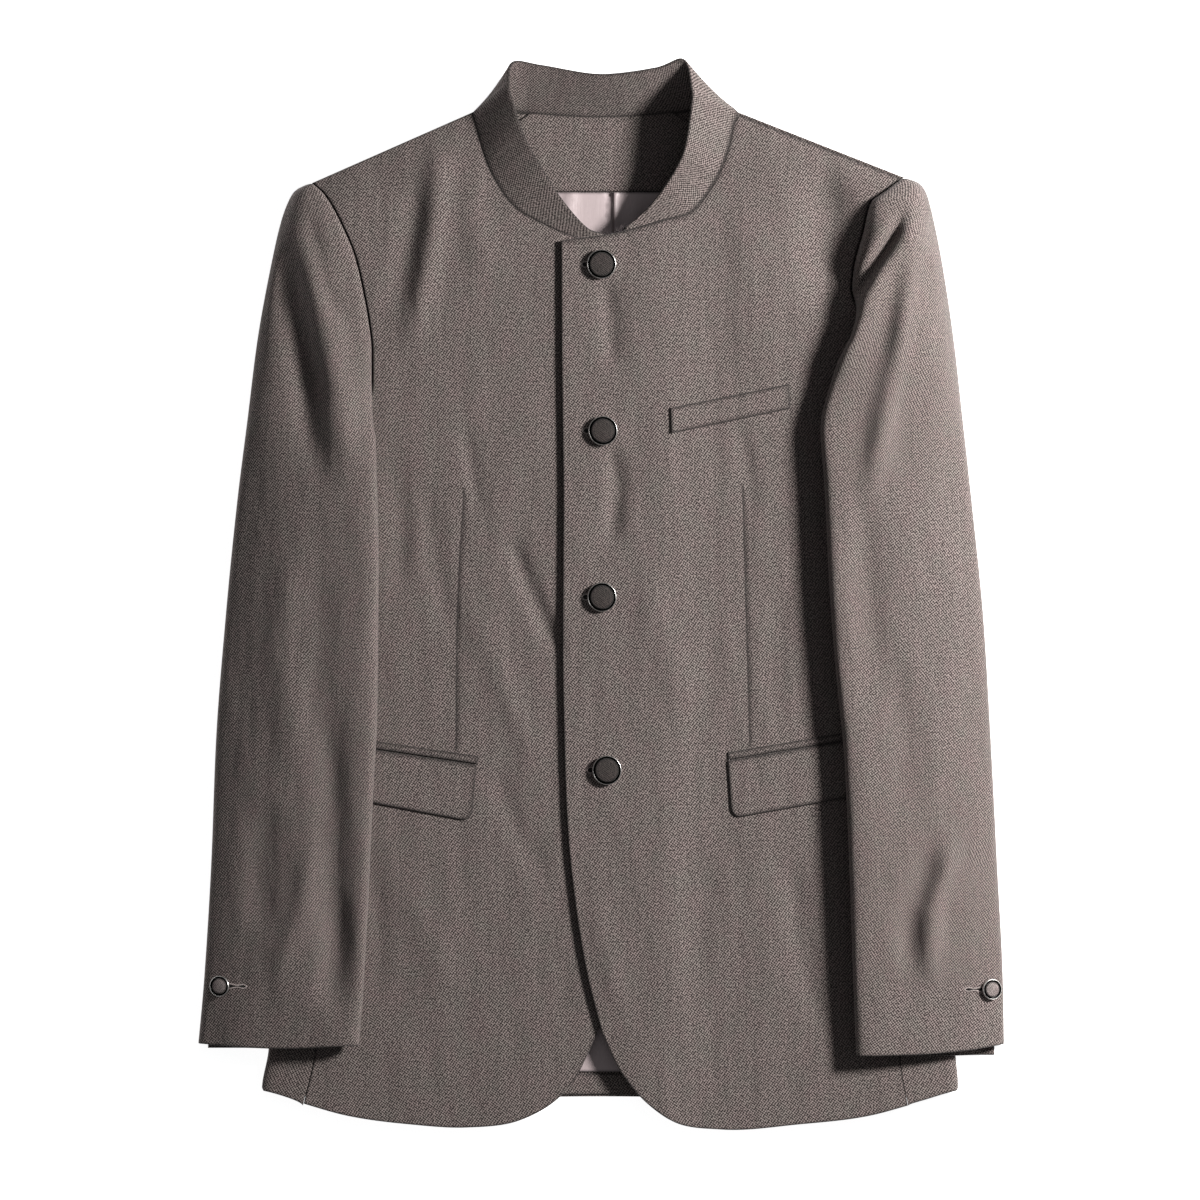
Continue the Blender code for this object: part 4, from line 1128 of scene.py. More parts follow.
@dataclass
class StandCollar:
    """The stand collar, a band from the neck seam to its free edge."""

    length: float = 420.0  # of the band, for its own coordinates
    height: float = 36.0
    foot: float = -0.045  # where its seam allowance ends, below the neck seam

    @staticmethod
    def bones(share: Array) -> tuple[Array, Array]:
        """Points on the neck seam and on the free edge, at each share of the band's length.

        Args:
            share: Where along it, from 0 to 1.

        Returns:
            Both sets of points, one row a share.
        """
        rows = np.array(BAND)
        spans = len(BAND) - 1
        slopes = np.gradient(rows, axis=0)
        i = np.clip((share * spans).astype(int), 0, spans - 1)
        t = (share * spans - i)[:, None]
        x, y, *edge = hermite(rows, slopes, i, t).T
        at = share * spans
        height = np.where(at >= LEFT_NECK_ROW, over_height(x, y), body_height(x, y))
        is_back = (at > RIGHT_NECK_ROW) & (at < LEFT_NECK_ROW)
        height = np.where(is_back, back_height(x, y) + 3 * SEAM, height)
        return np.stack([x, y, height], axis=-1), np.stack(edge, axis=-1)

    def surface(self, u: Array, v: Array) -> Array:
        """The outer face, at a distance along the band and one up from the seam."""
        seam, edge = self.bones(np.clip(u / self.length, 0.0, 1.0))
        return seam + (edge - seam) * (v / self.height)[:, None]

    def inward(self, u: Array, v: Array) -> Array:
        """Direction to the inner face, level at the foot so that it stays off the cloth below.

        Args:
            u: First coordinate of each point on the surface.
            v: Second coordinate of each point on the surface.

        Returns:
            One vector a point.
        """
        normal = normals_of(self.surface, u, v)
        foot = (1.0 - ease(v / self.height / 0.25))[:, None]
        level = normal.copy()
        level[:, 2] = np.maximum(level[:, 2], 0.0)
        level /= np.linalg.norm(level, axis=1)[:, None]
        return normal * (1 - foot) + level * foot

    def flat(self, u: Array, v: Array) -> Array:
        """The band laid out: the distance along its middle, and the one up from its seam.

        Args:
            u: First coordinate of each point on the surface.
            v: Second coordinate of each point on the surface.

        Returns:
            The flat place of each point.
        """
        shares = np.linspace(0.0, 1.0, 400)
        seam, edge = self.bones(shares)
        steps = np.linalg.norm(np.diff((seam + edge) / 2, axis=0), axis=1)
        along = np.interp(u / self.length, shares, np.concatenate([[0.0], np.cumsum(steps)]))
        tall = np.interp(u / self.length, shares, np.linalg.norm(edge - seam, axis=1))
        return np.stack([along, v / self.height * tall], axis=-1)

    def make(self) -> list[Piece]:
        """Builds the collar.

        Returns:
            The band, as the only piece.
        """
        foot = self.foot * self.height
        outline = np.array([(0.0, foot), (self.length, foot), (self.length, self.height), (0.0, self.height)])
        wool = WOOL.material()
        # The band's edges and a line along its neck seam get painted shade, for the dark gap between the collar and
        # the cloth below.
        panel = Panel("collar_cloth", refined(outline, 2.0), self.surface, -1, wool, wool, wall=BAND_WALL,
                      step=2.0, inward=self.inward, cut=self.flat,
                      seams=[(np.array([(0.0, 0.2), (self.length, 0.2)]), 1.5)])
        under = ("front_right_cloth", "front_left_cloth", "back_cloth")
        return [Piece(panel.build(), ("collar",), Slot.WOOL, under, Held.FOLDED)]


@dataclass
class Back:
    """The back in one piece with its turned-up hem, and its facing and lining inside."""

    hem: tuple = ((-203, -383), (0, -377.6), (216, -384))
    turn_up: float = -360.0  # y of the top of the turned-up hem
    lining_sides: tuple = ((-60, FACING_BOTTOM), (-120, 286), (-172, 240), (-176, 130), (-190, 80),
                           (-186, -359), (196, -359), (200, 80), (186, 130), (182, 240), (126, 286),
                           (66, FACING_BOTTOM))
    pleat_x: float = 10.0
    pleat_end: float = 120.0
    pleat_height: float = 1.8
    lining_folds: tuple = (
        Fold(((-20, 312), (-26, 285), (-16, 255)), 4, -1.8),
        Fold(((7, 310), (5.5, 291), (8.5, 268)), 2.2, 1.9),
        Fold(((28, 310), (24, 285), (30, 250)), 5, -1.6),
        Fold(((-6, -300), (-2, -330), (6, -357)), 5, -1.0),
    )

    def outline(self) -> Array:
        """The back seen from above.

        Returns:
            Its points, with no repeated end.
        """
        step = 3.0
        return closed_line(
            neck_edge(RIGHT_NECK_ROW, LEFT_NECK_ROW, 80),
            line_through((LEFT.neck, LEFT.point), step),
            LEFT.back_armhole.seam_points(LEFT.point[1] - 0.5, BACK_SEAM_TOP, step),
            LEFT.back_seam.seam_points(BACK_SEAM_TOP, HEM, step),
            line_through(self.hem[::-1], step),
            RIGHT.back_seam.seam_points(HEM + 1.0, BACK_SEAM_TOP, step),
            RIGHT.back_armhole.seam_points(BACK_SEAM_TOP, RIGHT.point[1] - 0.5, step),
            line_through((RIGHT.point, RIGHT.neck), step),
        )

    def make(self) -> list[Piece]:
        """Builds the back, its turned-up hem, its facing and its lining.

        Returns:
            The four pieces.
        """
        wool, satin = WOOL.material(), LINING.material()
        outline = shrunk(self.outline(), SEAM / 2)
        # Painted shade on the back along the left shoulder seam, for the ditch where the over front's edge meets it;
        # the back's own edges get none.
        shoulder = line_through((LEFT.neck, LEFT.point), 4.0) + np.array([0.4, -1.0]) * OVER_EDGE
        back = Panel("back_cloth", outline, lying(back_height), -1, wool, wool, step=6.0, edge_shade_width=0.0,
                     seams=[(shoulder, 1.5)])
        above = CLOTH + SEAM
        neck = neck_edge(RIGHT_NECK_ROW + 2, LEFT_NECK_ROW - 2, 60) - (0.0, 0.8)
        facing_line = closed_line(neck, [(86, 343), (104, 334), (90, 310), (66, FACING_BOTTOM)],
                                  [(-60, FACING_BOTTOM), (-84, 310), (-98, 334), (-80, 343)])
        facing = Panel("back_neck_facing_cloth", shrunk(facing_line, SEAM / 2), lying(back_height, above + 1.2),
                       1, wool, wool, wall=1.2, step=2.5)
        corners = [(196, self.turn_up), (-184, self.turn_up), (-196, -379.5), (0, -376.0), (206, -380.5)]
        turned = refined(np.array(corners, float), 3.0)
        turn_up = Panel("back_hem_cloth", shrunk(turned, 0.3), lying(back_height, 2 * CLOTH), 1, wool, wool,
                        wall=CLOTH - 0.1, step=3.0)

        def lining_height(x: Array, y: Array) -> Array:
            """Height of the lining's face, with its pleat and its waves.

            Args:
                x: x of each point.
                y: y of each point.

            Returns:
                The height at each point.
            """
            wide = ease((y - self.pleat_end) / 120.0)
            pleat = self.pleat_height * bell(x - self.pleat_x, 2.2) * wide
            waves = folded(self.lining_folds, x, y)
            return back_height(x, y) + above + LINING_WALL + pleat + waves

        lining_line = closed_line(refined(np.array(self.lining_sides[::-1], float), 6.0))
        pleat_rows = np.linspace(self.pleat_end, FACING_BOTTOM - 1.0, 60)
        pleat = [np.stack([np.full(60, self.pleat_x + side), pleat_rows], axis=-1) for side in (-2.4, -1.2, 0, 1.2)]
        # Painted shade along the pleat's fold.
        lining = Panel("back_lining_cloth", shrunk(lining_line, SEAM / 2), lying(lining_height), 1, satin, satin,
                       wall=LINING_WALL, step=4.5, creases=pleat, seams=[(pleat[1], 0.9)])
        return [
            Piece(back.build(), ("back",), Slot.WOOL),
            Piece(turn_up.build(), (), Slot.WOOL, ("back_cloth",)),
            Piece(facing.build(), ("back_neck_facing",), Slot.WOOL, ("back_cloth",)),
            Piece(lining.build(), ("back_lining",), Slot.LINING, ("back_cloth",)),
        ]


OVER_NECK = [(-30.4, 264.8), (2.6, 269.3)]  # the over front's upper edge, up to the collar's end


@dataclass
class Fronts:
    """Both fronts, each from the neck round the shoulder, armhole, side seam, hem and front edge."""

    step: float = 3.0
    right_hem: tuple = ((-224, -382.5), (-194.6, -390.8), (-142, -398.3), (-102, -400.5), (-61, -395),
                        (-32.6, -378.8), (-18.4, -361.5), (-8.6, -342))
    right_edge: tuple = ((-8.6, -342), (13, -290), (26, -207), (32, -80), (32, 86), (32, 262))
    left_hem: tuple = ((230, -384), (205, -390.8), (146.6, -398.3), (90.4, -402), (56, -396.8), (34, -382),
                       (15.4, -360), (0, -328.5))
    left_edge: tuple = ((0, -328.5), (-10.1, -289.5), (-22.9, -207), (-28.9, -79.5), (-28.9, 86.3),
                        (-30, 168.8), (-30.4, 264.8))

    def right_outline(self) -> Array:
        """The under front seen from above.

        Returns:
            Its points, with no repeated end.
        """
        return closed_line(
            [(32.0, 262.0)],
            neck_edge(0, RIGHT_NECK_ROW, 60),
            line_through((RIGHT.neck, RIGHT.point), self.step),
            RIGHT.armhole.seam_points(RIGHT.point[1] - 0.5, FRONT_SEAM_TOP, self.step),
            RIGHT.front_seam.seam_points(FRONT_SEAM_TOP, HEM + 1.5, self.step),
            line_through(self.right_hem, self.step),
            line_through(self.right_edge, self.step),
        )

    def left_outline(self) -> Array:
        """The over front seen from above.

        Returns:
            Its points, with no repeated end.
        """
        drop = np.array([0.4, -1.0]) * OVER_EDGE
        return closed_line(
            OVER_NECK,
            neck_edge(LEFT_NECK_ROW, len(BAND) - 1, 60)[::-1][:-1],
            line_through((np.array(LEFT.neck) + drop, np.array(LEFT.point) + drop), self.step),
            LEFT.armhole.seam_points(LEFT.point[1] - OVER_EDGE - 1, FRONT_SEAM_TOP, self.step),
            LEFT.front_seam.seam_points(FRONT_SEAM_TOP, HEM, self.step),
            line_through(self.left_hem, self.step),
            line_through(self.left_edge, self.step),
        )

    @staticmethod
    def dart(path: Sequence) -> list[Array]:
        """Lines along a dart seam and both its flanks."""
        line = line_through(path, 2.5)
        return [line + (side, 0.0) for side in (-1.2, 0.0, 1.2)]

    @staticmethod
    def surface(height: Callable[[Array, Array], Array]) -> Surface:
        """A front's outer face, with its dart seams drawn in.

        Args:
            height: Height of the face over x and y.

        Returns:
            The face, as a function of x and y.
        """

        def place(x: Array, y: Array) -> Array:
            """The face over x and y, lower along the darts.

            Args:
                x: x of each point.
                y: y of each point.

            Returns:
                The place of each point on the face.
            """
            groove = np.zeros(np.shape(x))
            for path in DARTS:
                far, share, _ = to_line(path, x, y)
                groove += 0.55 * bell(far, 0.7) * ease(np.minimum(share, 1 - share) / 0.03)
                groove += 0.5 * bell(far, 6.0) * ease(np.minimum(share, 1 - share) / 0.2)
            return np.stack([x, y, height(x, y) - groove], axis=-1)

        return place

    def make(self) -> list[Piece]:
        """Builds both fronts.

        Returns:
            The under front and the over front.
        """
        wool, satin = WOOL.material(), LINING.material()
        # Painted shade along both darts and, on the over front, along its neck edge, for the dark gap where it meets
        # the collar.
        neck = np.concatenate([OVER_NECK, neck_edge(LEFT_NECK_ROW, len(BAND) - 1, 60)[::-1]])
        right = Panel("front_right_cloth", shrunk(self.right_outline(), SEAM / 2), self.surface(body_height), 1,
                      wool, satin, step=self.step, creases=self.dart(DARTS[0]), turning=45.0,
                      seams=[(line_through(DARTS[0], 5.0), 0.95)])
        left = Panel("front_left_cloth", shrunk(self.left_outline(), SEAM / 2), self.surface(over_height), 1,
                     wool, satin, step=self.step, creases=self.dart(DARTS[1]), turning=45.0,
                     seams=[(line_through(DARTS[1], 5.0), 0.95), (neck, 2.0)])
        return [
            Piece(right.build(), ("front_right",), Slot.WOOL, ("back_cloth",)),
            Piece(left.build(), ("front_left",), Slot.WOOL, ("front_right_cloth",)),
        ]


@dataclass
class SidePanel:
    """The panel round one side of the body, between the front seam and the back seam."""

    side: Side
    around: float = 80.0  # its width, for its own coordinates
    tuck: float = 4.0  # how much shorter it is behind than in front

    def surface(self, u: Array, y: Array) -> Array:
        """The outer face, at a distance round from the front seam.

        Args:
            u: First coordinate of each point on the surface.
            y: y of each point.

        Returns:
            The place of each point on the face.
        """
        side = self.side
        fold = side.side_fold(y)
        seam = side.front_seam(y)
        steps = [seam - side.sign * SEAM / 2, fold + side.sign * 24, fold + side.sign * 12]
        full = body_height(fold + side.sign * 12, y)
        controls = [(x, body_height(x, y)) for x in steps]
        controls += [(fold + side.sign, 0.86 * full), (fold - side.sign * 1.2, 0.45 * full)]
        controls += [(fold + side.sign, 0.0 * y), (fold + side.sign * 12, 0.0 * y)]
        controls += [(side.back_seam(y) - side.sign * SEAM / 2, 0.0 * y)]
        flat = section(controls, u / self.around)
        return np.stack([flat[:, 0], y, flat[:, 1]], axis=-1)

    def make(self) -> list[Piece]:
        """Builds the panel.

        Returns:
            The panel, as the only piece.
        """
        front = np.linspace(FRONT_SEAM_TOP - 2.0, HEM, 150)
        shares = np.linspace(0, 1, 40)
        behind = np.clip(shares - 0.5, 0.0, 0.5) * 2.0
        hem = HEM + HEM_RISE * np.sin(np.pi * shares) ** 2 + self.tuck * np.sin(np.pi * behind) ** 0.5
        top = Profile(((0.0, 95.0), (0.3, 87.0), (0.5, 85.0), (0.72, 88.5), (1.0, 105.0)))(shares)
        back = np.linspace(HEM, BACK_SEAM_TOP - 3.0, 150)
        outline = closed_line(
            pairs(0.0, front),
            pairs(self.around * shares, hem)[1:-1],
            pairs(self.around, back),
            pairs(self.around * shares, top)[::-1][1:-1],
        )
        wool, satin = WOOL.material(), LINING.material()
        cut = girth(self.surface, self.around, HEM, BACK_SEAM_TOP)
        panel = Panel(f"side_panel_{self.side.name}_cloth", outline, self.surface, int(-self.side.sign), wool,
                      satin, step=3.6, cut=cut)
        return [Piece(panel.build(), (f"side_panel_{self.side.name}",), Slot.WOOL, held=Held.FOLDED)]


SLEEVE_REACH = (-350.0, 318.0)  # lowest and highest y of both sleeves


@dataclass
class Sleeve:
    """One sleeve: a top sleeve that shows, and an under sleeve that lies on the body and the floor."""

    side: Side
    around: float = 190.0  # width of the top sleeve, for its own coordinates
    around_under: float = 140.0

    def inner(self, y: Array) -> Array:
        """x of the armhole seam above the pitch, and of the inner fold below it."""
        return np.where(y >= self.side.pitch, self.side.armhole(y), self.side.inner(y))

    def width(self, y: Array) -> Array:
        """Width seen from above."""
        return np.abs(self.inner(y) - self.side.outer(y))

    def x(self, inwards: Array, y: Array) -> Array:
        """x at a distance from the outer fold."""
        return self.side.outer(y) + self.side.sign * inwards

    def overhang(self, y: Array) -> Array:
        """How far the inner fold reaches past the armhole seam."""
        return np.abs(self.side.armhole(y) - self.inner(y))

    def front_seam(self, y: Array) -> Array:
        """Distance of the front seam from the outer fold, on the underside."""
        return self.width(y) - np.minimum(UNDER_SEAM, 0.6 * self.overhang(y))

    def rest_height(self, inwards: Array, y: Array) -> Array:
        """Height of the underside where it lies over the body."""
        clear = OVER_CLOTH + (OVER_FLAPS - OVER_CLOTH) * ease((60.0 - y) / 60.0)
        return body_height(self.x(inwards, y), y) + clear

    def top(self, u: Array, y: Array) -> Array:
        """Top sleeve from the hind seam, round the outer fold, over and round the inner fold.

        Args:
            u: First coordinate of each point on the surface.
            y: y of each point.

        Returns:
            The place of each point on the face.
        """
        share = u / self.around
        turned = np.clip(self.overhang(y) / 18.0, 0.0, 1.0)
        wide = self.width(y) - 3 * SEAM * (1.0 - turned)
        seam = self.front_seam(y)
        full = ease((y - 60.0) / 140.0)
        low = self.rest_height(wide, y) - OVER_CLOTH * (1.0 - turned)
        ridge = body_height(self.x(wide, y), y) + self.side.lift(y)
        rise = ridge - low

        def mix(plain: Array, over: Array | float) -> Array:
            """The value for a plain seam, or for an inner fold that is turned over it."""
            return plain + (over - plain) * turned

        under = [wide - (wide - seam) * share_in for share_in in (0.3, 0.65, 1.0)]
        controls = [
            (np.minimum(HIND_SEAM, 0.3 * wide), 0.0 * y),
            (np.minimum(3.0, 0.2 * wide), 0.0 * y),
            (-1.3 + 0.0 * y, 0.2 + 0.0 * y),
            (-1.3 + 0.0 * y, 0.28 * ridge),
            (0.08 * wide, (0.42 + 0.22 * full) * ridge),
            (0.25 * wide, (0.66 + 0.24 * full) * ridge),
            (0.50 * wide, (0.84 + 0.18 * full) * ridge),
            (0.75 * wide, (0.96 + 0.06 * full) * ridge),
            (wide - mix(0.14 * wide, 9.0), ridge + mix(0.3, 1.0)),
            (wide + mix(-0.05 * wide, 1.3), low + mix(0.8, 1.0) * rise),
            (wide + mix(-0.015 * wide, 1.3), low + mix(0.45, 0.34) * rise),
            (mix(wide, under[0]), mix(low + 0.18 * rise, self.rest_height(under[0], y))),
            (mix(wide, under[1]), mix(low, self.rest_height(under[1], y))),
            (mix(wide, under[2]), mix(low, self.rest_height(under[2], y))),
        ]
        flat = section(controls, share)
        x = self.x(flat[:, 0], y)
        upward = ease((flat[:, 1] - 0.45 * ridge) / (0.3 * ridge)) * ease((0.93 - share) / 0.12)
        return np.stack([x, y, flat[:, 1] + folded(SLEEVE_FOLDS, x, y) * upward], axis=-1)

    def under(self, u: Array, y: Array) -> Array:
        """Under sleeve from the front seam to the hind seam: on the body, down its side, on the floor.

        Args:
            u: First coordinate of each point on the surface.
            y: y of each point.

        Returns:
            The place of each point on the face.
        """
        share = u / self.around_under
        outer = self.side.outer(y)
        to_body = np.abs(self.side.side_fold(y) - outer)
        below = ease((ARMPIT - y) / 40.0)
        step = np.minimum(14.0 + 9.0 * below, to_body - HIND_SEAM - 3.0)
        front = np.where(y > ARMPIT, np.abs(self.side.armhole(y) - outer), to_body + 1 + 6 * below)
        back_x = self.side.back_armhole(y)
        back = np.where(y > ARMPIT, np.abs(back_x - outer), to_body - step)
        front = front + SEAM / 2
        back = back - SEAM / 2 - 2.0 * ease((y - self.side.point[1] + 40.0) / 30.0)
        raised = np.where(y > ARMPIT, back_height(back_x, y), 0.0)
        seam = self.front_seam(y) - SEAM
        hind = np.minimum(HIND_SEAM, 0.3 * self.width(y)) + SEAM + 2 * SEAM * ease((y - 200.0) / 60.0)
        over = seam + (front - seam) * share / (1 - NOTCH)
        drop = (share - (1 - NOTCH)) / (2 * NOTCH - 1)
        down = front + (back - front) * drop
        floor_share = (share - NOTCH) / (1 - NOTCH)
        on_floor = back + (hind - back) * floor_share
        is_over = share <= 1 - NOTCH
        is_floor = share >= NOTCH
        inwards = np.where(is_over, over, np.where(is_floor, on_floor, down))
        raised_part = raised * (1 - ease(floor_share))
        dropping = self.rest_height(front, y) * (1 - ease(drop))
        height = np.where(is_over, self.rest_height(inwards, y), np.where(is_floor, raised_part, dropping))
        return np.stack([self.x(inwards, y), y, height], axis=-1)

    def top_outline(self) -> Array:
        """The top sleeve in its own coordinates.

        Returns:
            Its points, with no repeated end.
        """
        low = min(row[1] for row in self.side.cuff.rows)
        high = self.side.point[1] - 0.6
        shares = np.linspace(0, 1, 90)
        cuff_x = self.top(shares * self.around, np.full_like(shares, low))[:, 0]
        down = np.linspace(high, low, 220)
        return closed_line(
            pairs(self.around, down),
            pairs(shares * self.around, self.side.cuff(cuff_x))[-2:0:-1],
            pairs(0.0, down)[::-1],
            pairs(shares * self.around, high)[1:-1],
        )

    def under_outline(self) -> Array:
        """The under sleeve in its own coordinates: a front and a back lobe over a notch.

        Returns:
            Its points, with no repeated end.
        """
        low = min(row[1] for row in self.side.cuff.rows) - 0.5
        high = self.side.point[1] - 2 * OVER_EDGE
        wide = self.around_under
        front = np.linspace(self.side.lobe, low, 130)
        hind = np.linspace(low, high, 180)
        back = np.linspace(high, ARMPIT + 2.0, 80)
        lobe = np.linspace(ARMPIT + 2.0, self.side.lobe, 30)
        return closed_line(
            pairs(0.0, front),
            pairs(wide * np.linspace(0.03, 0.97, 60), low),
            pairs(wide, hind),
            pairs(wide * NOTCH, back),
            [(0.5 * wide, ARMPIT)],
            pairs(wide * (1 - NOTCH), lobe),
        )

    def make(self) -> list[Piece]:
        """Builds both halves.

        Returns:
            The top sleeve and the under sleeve.
        """
        wool, satin = WOOL.material(), LINING.material()
        name = self.side.name
        outward = int(self.side.sign)
        top = Panel(f"top_sleeve_{name}_cloth", self.top_outline(), self.top, outward, wool, satin, step=2.8,
                    turning=40.0, cut=girth(self.top, self.around, *SLEEVE_REACH))
        under = Panel(f"under_sleeve_{name}_cloth", self.under_outline(), self.under, outward, wool, satin,
                      step=4.5, turning=40.0, cut=girth(self.under, self.around_under, *SLEEVE_REACH))
        body = (f"front_{name}_cloth", f"side_panel_{name}_cloth")
        return [
            Piece(top.build(), (f"top_sleeve_{name}",), Slot.WOOL, (f"under_sleeve_{name}_cloth",),
                  Held.FOLDED),
            Piece(under.build(), (f"under_sleeve_{name}",), Slot.WOOL, body, Held.FOLDED),
        ]


@dataclass
class Pockets:
    """Breast welt, hip jets and hip flaps, laid on the fronts."""

    welt: tuple = ((51.4, 139.5), (140.6, 157.5), (141.8, 138.8), (52.1, 120.0))
    jets: dict = field(default_factory=lambda: {
        "right": ((-91.9, -121.5), (-229, -101.1), (-230, -107.1), (-93, -127.5)),
        "left": ((94.5, -118.5), (245, -93.5), (246, -99.5), (94.9, -124.5)),
    })
    flaps: dict = field(default_factory=lambda: {
        "right": ((-93.5, -128.0), (-229, -107.5), (-230, -146), (-105, -169.4), (-101.6, -169.3), (-98.8, -167.6),
                  (-97.0, -165.0), (-96.2, -161.5)),
        "left": ((94.5, -124.8), (245, -99.8), (246, -142), (104.5, -167.1), (101.4, -167.0), (98.9, -165.3),
                 (97.4, -162.7), (96.8, -159.5)),
    })

    def lay(self, name: str, corners: Sequence, height: Callable, wall: float, under: str) -> Piece:
        """One piece laid on a front.

        Args:
            name: The CAD node that it stands for.
            corners: Its outline from above.
            height: Height of the cloth under it.
            wall: Its thickness.
            under: The piece that it lies on.

        Returns:
            The finished piece.
        """
        wool = WOOL.material()
        outline = shrunk(refined(np.array(corners, float), 1.6), SEAM / 2)
        # A wider painted shade round the edges, for the shadow in the gaps round the welt, jets and flaps.
        panel = Panel(f"{name}_cloth", outline, lying(height, SEAM + wall), 1, wool, wool, wall=wall, step=1.8,
                      edge_shade_width=1.7)
        return Piece(panel.build(), (name,), Slot.WOOL, (under,))

    def make(self) -> list[Piece]:
        """Builds the welt, the jets and the flaps.

        Returns:
            The five pieces.
        """
        found = [self.lay("breast_welt", self.welt, over_height, CLOTH, "front_left_cloth")]
        for name, height in (("right", body_height), ("left", over_height)):
            under = f"front_{name}_cloth"
            found.append(self.lay(f"pocket_jet_{name}", self.jets[name], height, JET_WALL, under))
            found.append(self.lay(f"pocket_flap_{name}", self.flaps[name], height, CLOTH, under))
        return found


@dataclass
class CoveredButton:
    """A metal rim on its shank, with a cloth face set in the rim."""

    name: str
    radius: float
    base: Array
    normal: Array
    cloth: TwillFinish = BUTTON_CLOTH
    sides: int = 64

    def turned(self, name: str, profile: Sequence, material: bpy.types.Material,
               grooved: Callable[[float, float], bool]) -> bpy.types.Object:
        """A piece turned round the button's axis.

        Args:
            name: The piece's name.
            profile: Radius and height from the axis below, round the outside, to the axis above.
            material: Its finish.
            grooved: Whether a radius and height get the painted shade of the groove round the face.

        Returns:
            The object, in place, with flat coordinates in its UV map.
        """
        angles = 2 * np.pi * np.arange(self.sides) / self.sides
        rings = profile[1:-1]
        points = [(0.0, 0.0, profile[0][1]), (0.0, 0.0, profile[-1][1])]
        for radius, height in rings:
            points += [(radius * np.cos(a), radius * np.sin(a), height) for a in angles]
        faces: list[tuple[int, ...]] = []
        last = 2 + (len(rings) - 1) * self.sides
        for k in range(self.sides):
            after = (k + 1) % self.sides
            faces.append((0, 2 + after, 2 + k))
            faces.append((1, last + k, last + after))
            for ring in range(len(rings) - 1):
                start = 2 + ring * self.sides
                faces.append((start + k, start + after, start + after + self.sides, start + k + self.sides))
        turn = Vector(self.normal).to_track_quat("Z", "Y").to_matrix().to_4x4()
        world = Matrix.Translation(Vector(self.base)) @ turn
        moved = np.array([tuple(world @ Vector(p)) for p in points])
        made = new_object(name, moved, faces, [material])
        layer = made.data.uv_layers.new(name="cut")
        for loop in made.data.loops:
            layer.data[loop.index].uv = np.array(points[loop.vertex_index][:2]) * MM
        dark = made.data.attributes.new("seam", "FLOAT", "POINT")
        for index, (x, y, height) in enumerate(points):
            dark.data[index].value = float(grooved(math.hypot(x, y), height))
        return made

    def make(self) -> list[Piece]:
        """Builds the rim and the face.

        Returns:
            The rim and the face.
        """
        r = self.radius
        rim = ((0, SEAM), (2.2, SEAM), (2.5, 0.6), (2.5, 1.1), (r - 1.6, 1.15), (r - 0.6, 1.5), (r - 0.15, 2.1),
               (r, 2.8), (r - 0.05, 3.4), (r - 0.2, 3.9), (r - 0.45, 4.15), (r - 0.7, 4.1), (r - 0.9, 3.85),
               (r - 0.98, 3.4), (r - 1.05, 2.75), (r - 1.4, 2.6), (0, 2.6))
        edge = r - 2.05
        face = ((0, 2.9), (edge - 0.5, 2.9), (edge - 0.1, 3.1), (edge, 3.6), (edge - 0.12, 3.95), (edge - 0.45, 4.2),
                (edge - 1.2, 4.38), (0.6 * edge, 4.6), (0.3 * edge, 4.76), (0, 4.8))
        # Painted shade: the rim's inner lip and the cloth face's edge take the seam value, which darkens them for the
        # shade in the groove between them.
        return [
            Piece(self.turned(f"{self.name}_metal_rim", rim, RIM_METAL.material(), lambda far, up: far < r - 0.6),
                  (f"{self.name}_rim",), Slot.RIM),
            Piece(self.turned(f"{self.name}_cloth_face", face, self.cloth.material(), lambda far, up: up < 4.25),
                  (f"{self.name}_cover",), Slot.FACE),
        ]


@dataclass
class Buttons:
    """Four front buttons and one at each cuff, each square to the cloth under it."""

    front: tuple = ((0.0, 246.8), (1.1, 122.3), (0.4, -2.3), (4.1, -132.0))
    cuffs: tuple = ((-285.4, -294.0), (291.6, -296.3))
    front_radius: float = 11.0
    cuff_radius: float = 7.8

    def make(self) -> list[Piece]:
        """Builds all six.

        Returns:
            Their rims and faces.
        """
        found: list[Piece] = []
        for number, (x, y) in enumerate(self.front, 1):
            surface = lying(over_height)
            x, y = np.array([x]), np.array([y])
            base, normal = surface(x, y)[0], normals_of(surface, x, y)[0]
            found += CoveredButton(f"front_button_{number}", self.front_radius, base, normal).make()
        for side, (x, y) in zip(SIDES, self.cuffs):
            sleeve = Sleeve(side)
            along = np.linspace(0.2, 0.6, 400) * sleeve.around
            found_x = sleeve.top(along, np.full(400, y))[:, 0]
            nearest = along[[int(np.argmin(np.abs(found_x - x)))]]
            base = sleeve.top(nearest, np.array([y]))[0]
            normal = normals_of(sleeve.top, nearest, np.array([y]))[0] * side.sign
            button = CoveredButton(f"sleeve_button_{side.name}", self.cuff_radius, base, normal, SLEEVE_BUTTON_LIT_CLOTH)
            found += button.make()
        return found


UNEVENNESS = 0.15  # radians by which stitches turn either way


